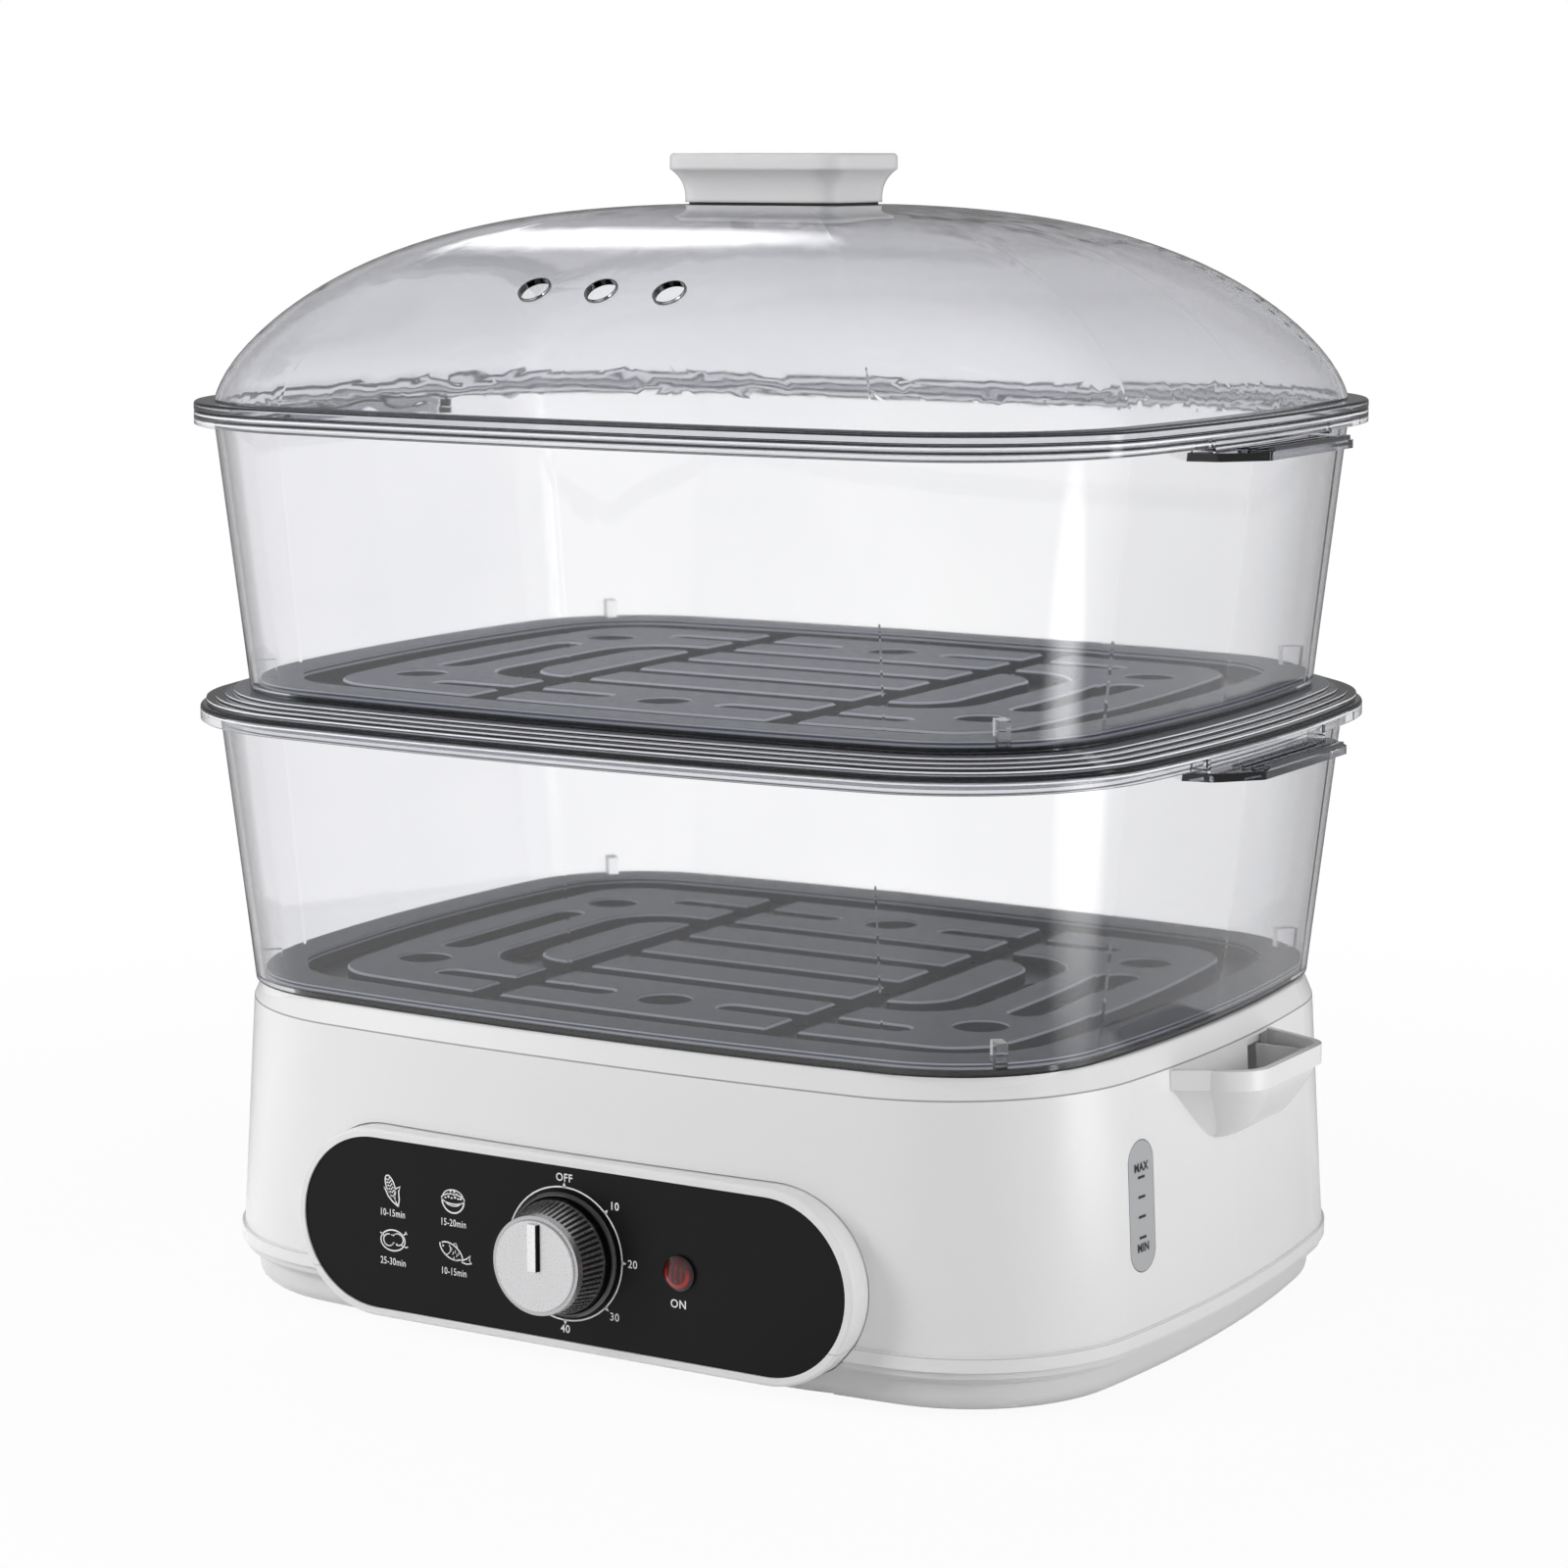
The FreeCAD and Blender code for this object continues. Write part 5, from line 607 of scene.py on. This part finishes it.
def fish():
    p = Print()
    p.arc((-1.0, -0.6), 4.8, 18, 162, 0.46, squash=0.60, tilt=-30)
    p.arc((-0.8, 1.0), 4.8, 198, 342, 0.46, squash=0.66, tilt=-30)
    p.stroke([(2.9, -2.5), (5.0, -1.6), (6.4, -0.4), (6.0, -2.0), (6.8, -2.9), (4.9, -3.3), (3.0, -2.9)], 0.44)
    p.arc((-3.1, 0.7), 1.9, -75, 60, 0.30, tilt=-16)
    p.dot((-4.0, 1.5), 0.36)
    p.stroke([(-0.6, 2.3), (0.9, 2.9), (1.5, 1.6)], 0.30)
    p.stroke([(0.0, -1.6), (0.4, -2.7), (1.6, -2.3)], 0.30)
    for u, v in ((-1.2, 0.8), (0.2, 0.2), (1.5, -0.4), (-0.6, -0.4), (0.8, -1.0)):
        p.arc((u, v), 0.5, -80, 60, 0.22, steps=8)
    return p


def panel_print():
    """Dial ring with its five marks and numbers, ON under the lamp, and four foods with their times."""
    p = Print()
    turns = [math.tau * k / 144 for k in range(144)]
    p.stroke([(DIAL_RADIUS * math.sin(turn), DIAL_RADIUS * math.cos(turn)) for turn in turns], 0.5, closed=True)
    for degrees in (0, 45, 90, 135, 180):
        turn = math.radians(degrees)
        out = Vector((math.sin(turn), math.cos(turn)))
        side = Vector((out.y, -out.x))
        p.polygon([tuple(out * 21.0 - side * 0.8), tuple(out * 21.0 + side * 0.8), tuple(out * 22.7)])
    for words, u, v in (("OFF", 0, 24.0), ("10", 18.4, 17.4), ("20", 24.9, 0.0), ("30", 18.2, -17.6),
                        ("40", 0, -24.0)):
        p.text(words, 2.5, u, v, 0.94)
    p.text("ON", 2.6, 41.4, -10.0, 0.95)
    for sign, words, u, v, down in ((corn, "10-15min", -65.5, 11.2, 7.4),
                                    (rice_bowl, "15-20min", -42.0, 10.6, 6.8),
                                    (roast, "25-30min", -65.5, -5.2, 6.8),
                                    (fish, "10-15min", -42.0, -5.4, 6.6)):
        p.add(sign().shift(u, v))
        p.text(words, 2.3, u, v - down, 0.74, 0.012)
    return p


flat = panel_print()
mesh_object("panel_print", [(u * MM, FASCIA_Y - PRINT_LIFT, KNOB_Z + v * MM) for u, v in flat.verts],
            flat.faces, ink, "base")


def tree_of(name):
    """Search tree over the mesh of a CAD node."""
    bm = bmesh.new()
    bm.from_mesh(nodes[name].data)
    found = BVHTree.FromBMesh(bm)
    bm.free()
    return found


def window_print():
    """MAX and MIN with four level ticks, laid on the window's curved face."""
    p = Print()
    p.text("MAX", 2.5, 0, 11.9, 0.95, 0.06)
    p.text("MIN", 2.5, 0, -12.9, 0.95, 0.06)
    for v in (8.9, 2.8, -3.3, -9.7):
        p.polygon([(-1.9, v - 0.42), (1.9, v - 0.42), (1.9, v + 0.42), (-1.9, v + 0.42)])
    face = tree_of("level_window")
    verts = []
    for u, v in p.verts:
        y, z = WINDOW_Y + u * MM, WINDOW_Z + v * MM
        hit = face.ray_cast(Vector((0.25, y, z)), Vector((-1, 0, 0)))
        verts.append((hit[0].x + PRINT_LIFT, y, z))
    return verts, p.faces


verts, faces = window_print()
mesh_object("window_print", verts, faces, dark_ink, "base")


def lathe(profile, height):
    """Points and faces of a ring turned about an axis along Y at x 0, from (radius, y) points."""
    steps = 96
    verts = []
    for k in range(steps):
        turn = math.tau * k / steps
        verts += [(radius * math.sin(turn), y, height + radius * math.cos(turn)) for radius, y in profile]
    count = len(profile)
    faces = []
    for k in range(steps):
        this, after = k * count, (k + 1) % steps * count
        for i in range(count):
            j = (i + 1) % count
            faces.append((this + i, this + j, after + j, after + i))
    return verts, faces


# dark collar round the foot of the knob
verts, faces = lathe([(0.01865, -0.12960), (0.01925, -0.12960), (0.01985, -0.12895), (0.01985, -0.12800),
                      (0.01935, -0.12765), (0.01872, -0.12765)], KNOB_Z)
mesh_object("knob_collar", verts, faces, dark_chrome, "knob")


# ------------------------------------------------------------------ studio
def directly_seen(tree):
    """Light Path's outputs, and a socket with 1 for camera, mirrored and refracted rays, 0 for the rest."""
    path = tree.nodes.new("ShaderNodeLightPath").outputs
    return path, maths(tree, "MAXIMUM", maths(tree, "MAXIMUM", path["Is Camera Ray"], path["Is Glossy Ray"]),
                       path["Is Transmission Ray"])


def backwards(tree, x, y):
    """1 for a unit vector (x, y) that points to the back left of the object, -1 for its front right."""
    return maths(tree, "SUBTRACT", maths(tree, "MULTIPLY", y, 0.86), maths(tree, "MULTIPLY", x, 0.51))


def floor():
    """Pale floor that fades to plain white; in mirrors it is darker behind and to the right of the object."""
    bpy.ops.mesh.primitive_plane_add(size=12, location=(0, 0, 0))
    obj = bpy.context.object
    obj.name = "floor"
    mat, tree, out = graph("floor")
    path, seen = directly_seen(tree)
    matt = tree.nodes.new("ShaderNodeBsdfDiffuse")
    matt.inputs["Color"].default_value = (0.9, 0.9, 0.9, 1)
    glow = tree.nodes.new("ShaderNodeEmission")
    glow.inputs["Color"].default_value = (1, 1, 1, 1)
    x, y, _ = position(tree)
    radius = distance(tree, x, y)
    share = maths(tree, "MULTIPLY", seen, ramp(tree, radius, 0.94, 1.0, 0.25, 0.70))
    behind = maths(tree, "DIVIDE", backwards(tree, x, y), radius)
    aside = maths(tree, "DIVIDE", x, radius)
    mirrored = maths(tree, "MULTIPLY", path["Is Glossy Ray"],
                     maths(tree, "SUBTRACT", 1.0, path["Is Transmission Ray"]))
    dim = maths(tree, "MULTIPLY", mirrored, maths(tree, "MAXIMUM", ramp(tree, behind, 0.0, 0.78, 0.30, 0.80),
                                                  ramp(tree, aside, 0.0, 0.45, 0.15, 0.60)))
    tree.links.new(maths(tree, "SUBTRACT", 1.0, dim), glow.inputs["Strength"])
    mix = tree.nodes.new("ShaderNodeMixShader")
    tree.links.new(share, mix.inputs[0])
    tree.links.new(matt.outputs[0], mix.inputs[1])
    tree.links.new(glow.outputs[0], mix.inputs[2])
    tree.links.new(mix.outputs[0], out.inputs["Surface"])
    obj.data.materials.append(mat)


def world(strength):
    """White surroundings of the given strength as light; in mirrors darker above, behind and to the right."""
    scene_world = bpy.data.worlds.new("studio")
    bpy.context.scene.world = scene_world
    scene_world.use_nodes = True
    tree = scene_world.node_tree
    tree.nodes.clear()
    out = tree.nodes.new("ShaderNodeOutputWorld")
    path, seen = directly_seen(tree)
    coord = tree.nodes.new("ShaderNodeTexCoord")
    split = tree.nodes.new("ShaderNodeSeparateXYZ")
    tree.links.new(coord.outputs["Generated"], split.inputs["Vector"])
    x, y, z = split.outputs
    shown = maths(tree, "MULTIPLY", ramp(tree, z, 1.0, 0.45, 0.25, 0.75),
                  maths(tree, "MINIMUM", ramp(tree, backwards(tree, x, y), 1.0, 0.22, 0.30, 0.80),
                        ramp(tree, x, 1.0, 0.55, 0.15, 0.60)))
    lit = maths(tree, "MULTIPLY", path["Is Glossy Ray"], shown)
    plain = maths(tree, "MAXIMUM", path["Is Camera Ray"], path["Is Transmission Ray"])
    rest = maths(tree, "MULTIPLY", maths(tree, "SUBTRACT", 1.0, seen), strength)
    level = maths(tree, "ADD", maths(tree, "MAXIMUM", lit, plain), rest)
    back = tree.nodes.new("ShaderNodeBackground")
    back.inputs["Color"].default_value = (1, 1, 1, 1)
    tree.links.new(level, back.inputs["Strength"])
    tree.links.new(back.outputs[0], out.inputs["Surface"])


def lamp(name, place, aim, size, size_y, power, shown=True):
    """Area lamp whose light fades out towards its edges, so its reflection is soft.

    Where shown is False it lights the object but isn't seen in it or through it."""
    data = bpy.data.lights.new(name, "AREA")
    data.shape = "RECTANGLE"
    data.size = size
    data.size_y = size_y
    data.energy = power
    data.use_nodes = True
    tree = data.node_tree
    tree.nodes.clear()
    out = tree.nodes.new("ShaderNodeOutputLight")
    glow = tree.nodes.new("ShaderNodeEmission")
    place_on = tree.nodes.new("ShaderNodeNewGeometry")
    split = tree.nodes.new("ShaderNodeSeparateXYZ")
    tree.links.new(place_on.outputs["Parametric"], split.inputs["Vector"])
    off = distance(tree, maths(tree, "SUBTRACT", split.outputs["X"], 0.5),
                   maths(tree, "SUBTRACT", split.outputs["Y"], 0.5))
    tree.links.new(ramp(tree, off, 2.6, 0.0, 0.12, 0.5), glow.inputs["Strength"])
    tree.links.new(glow.outputs[0], out.inputs["Surface"])
    obj = bpy.data.objects.new(name, data)
    obj.location = place
    obj.rotation_euler = (Vector(aim) - Vector(place)).to_track_quat("-Z", "Y").to_euler()
    obj.visible_camera = False
    obj.visible_glossy = shown
    obj.visible_transmission = shown
    bpy.context.scene.collection.objects.link(obj)


floor()
world(0.40)
middle = (0, 0, 0.18)
lamp("key", (-0.88, -0.88, 0.60), (0, 0, 0.12), 0.7, 0.8, 10, shown=False)
lamp("fill_right", (2.1, -0.25, 0.8), middle, 1.2, 1.6, 19, shown=False)
lamp("high_back", (-1.15, 1.2, 1.48), (0, 0, 0.34), 0.6, 0.6, 1.6)
lamp("side_strip", (1.3, 0.37, 0.33), (0, 0, 0.2), 0.26, 0.66, 0.9)
lamp("low_strip", (0.80, 0.05, 0.004), (0.80, 0.05, 1.0), 0.95, 0.42, 1.9)

# the photograph's view, from a pinhole camera fitted to its rims and seams
camera = bpy.data.cameras.new("camera")
camera.lens = 92.97
camera.sensor_width = 36.0
holder = bpy.data.objects.new("camera", camera)
holder.location = (0.6791, -1.13115, 0.3749)
holder.rotation_euler = (math.radians(81.06), 0.0, math.radians(30.88))
bpy.context.scene.collection.objects.link(holder)
bpy.context.scene.camera = holder
bpy.context.scene.view_settings.view_transform = "Standard"
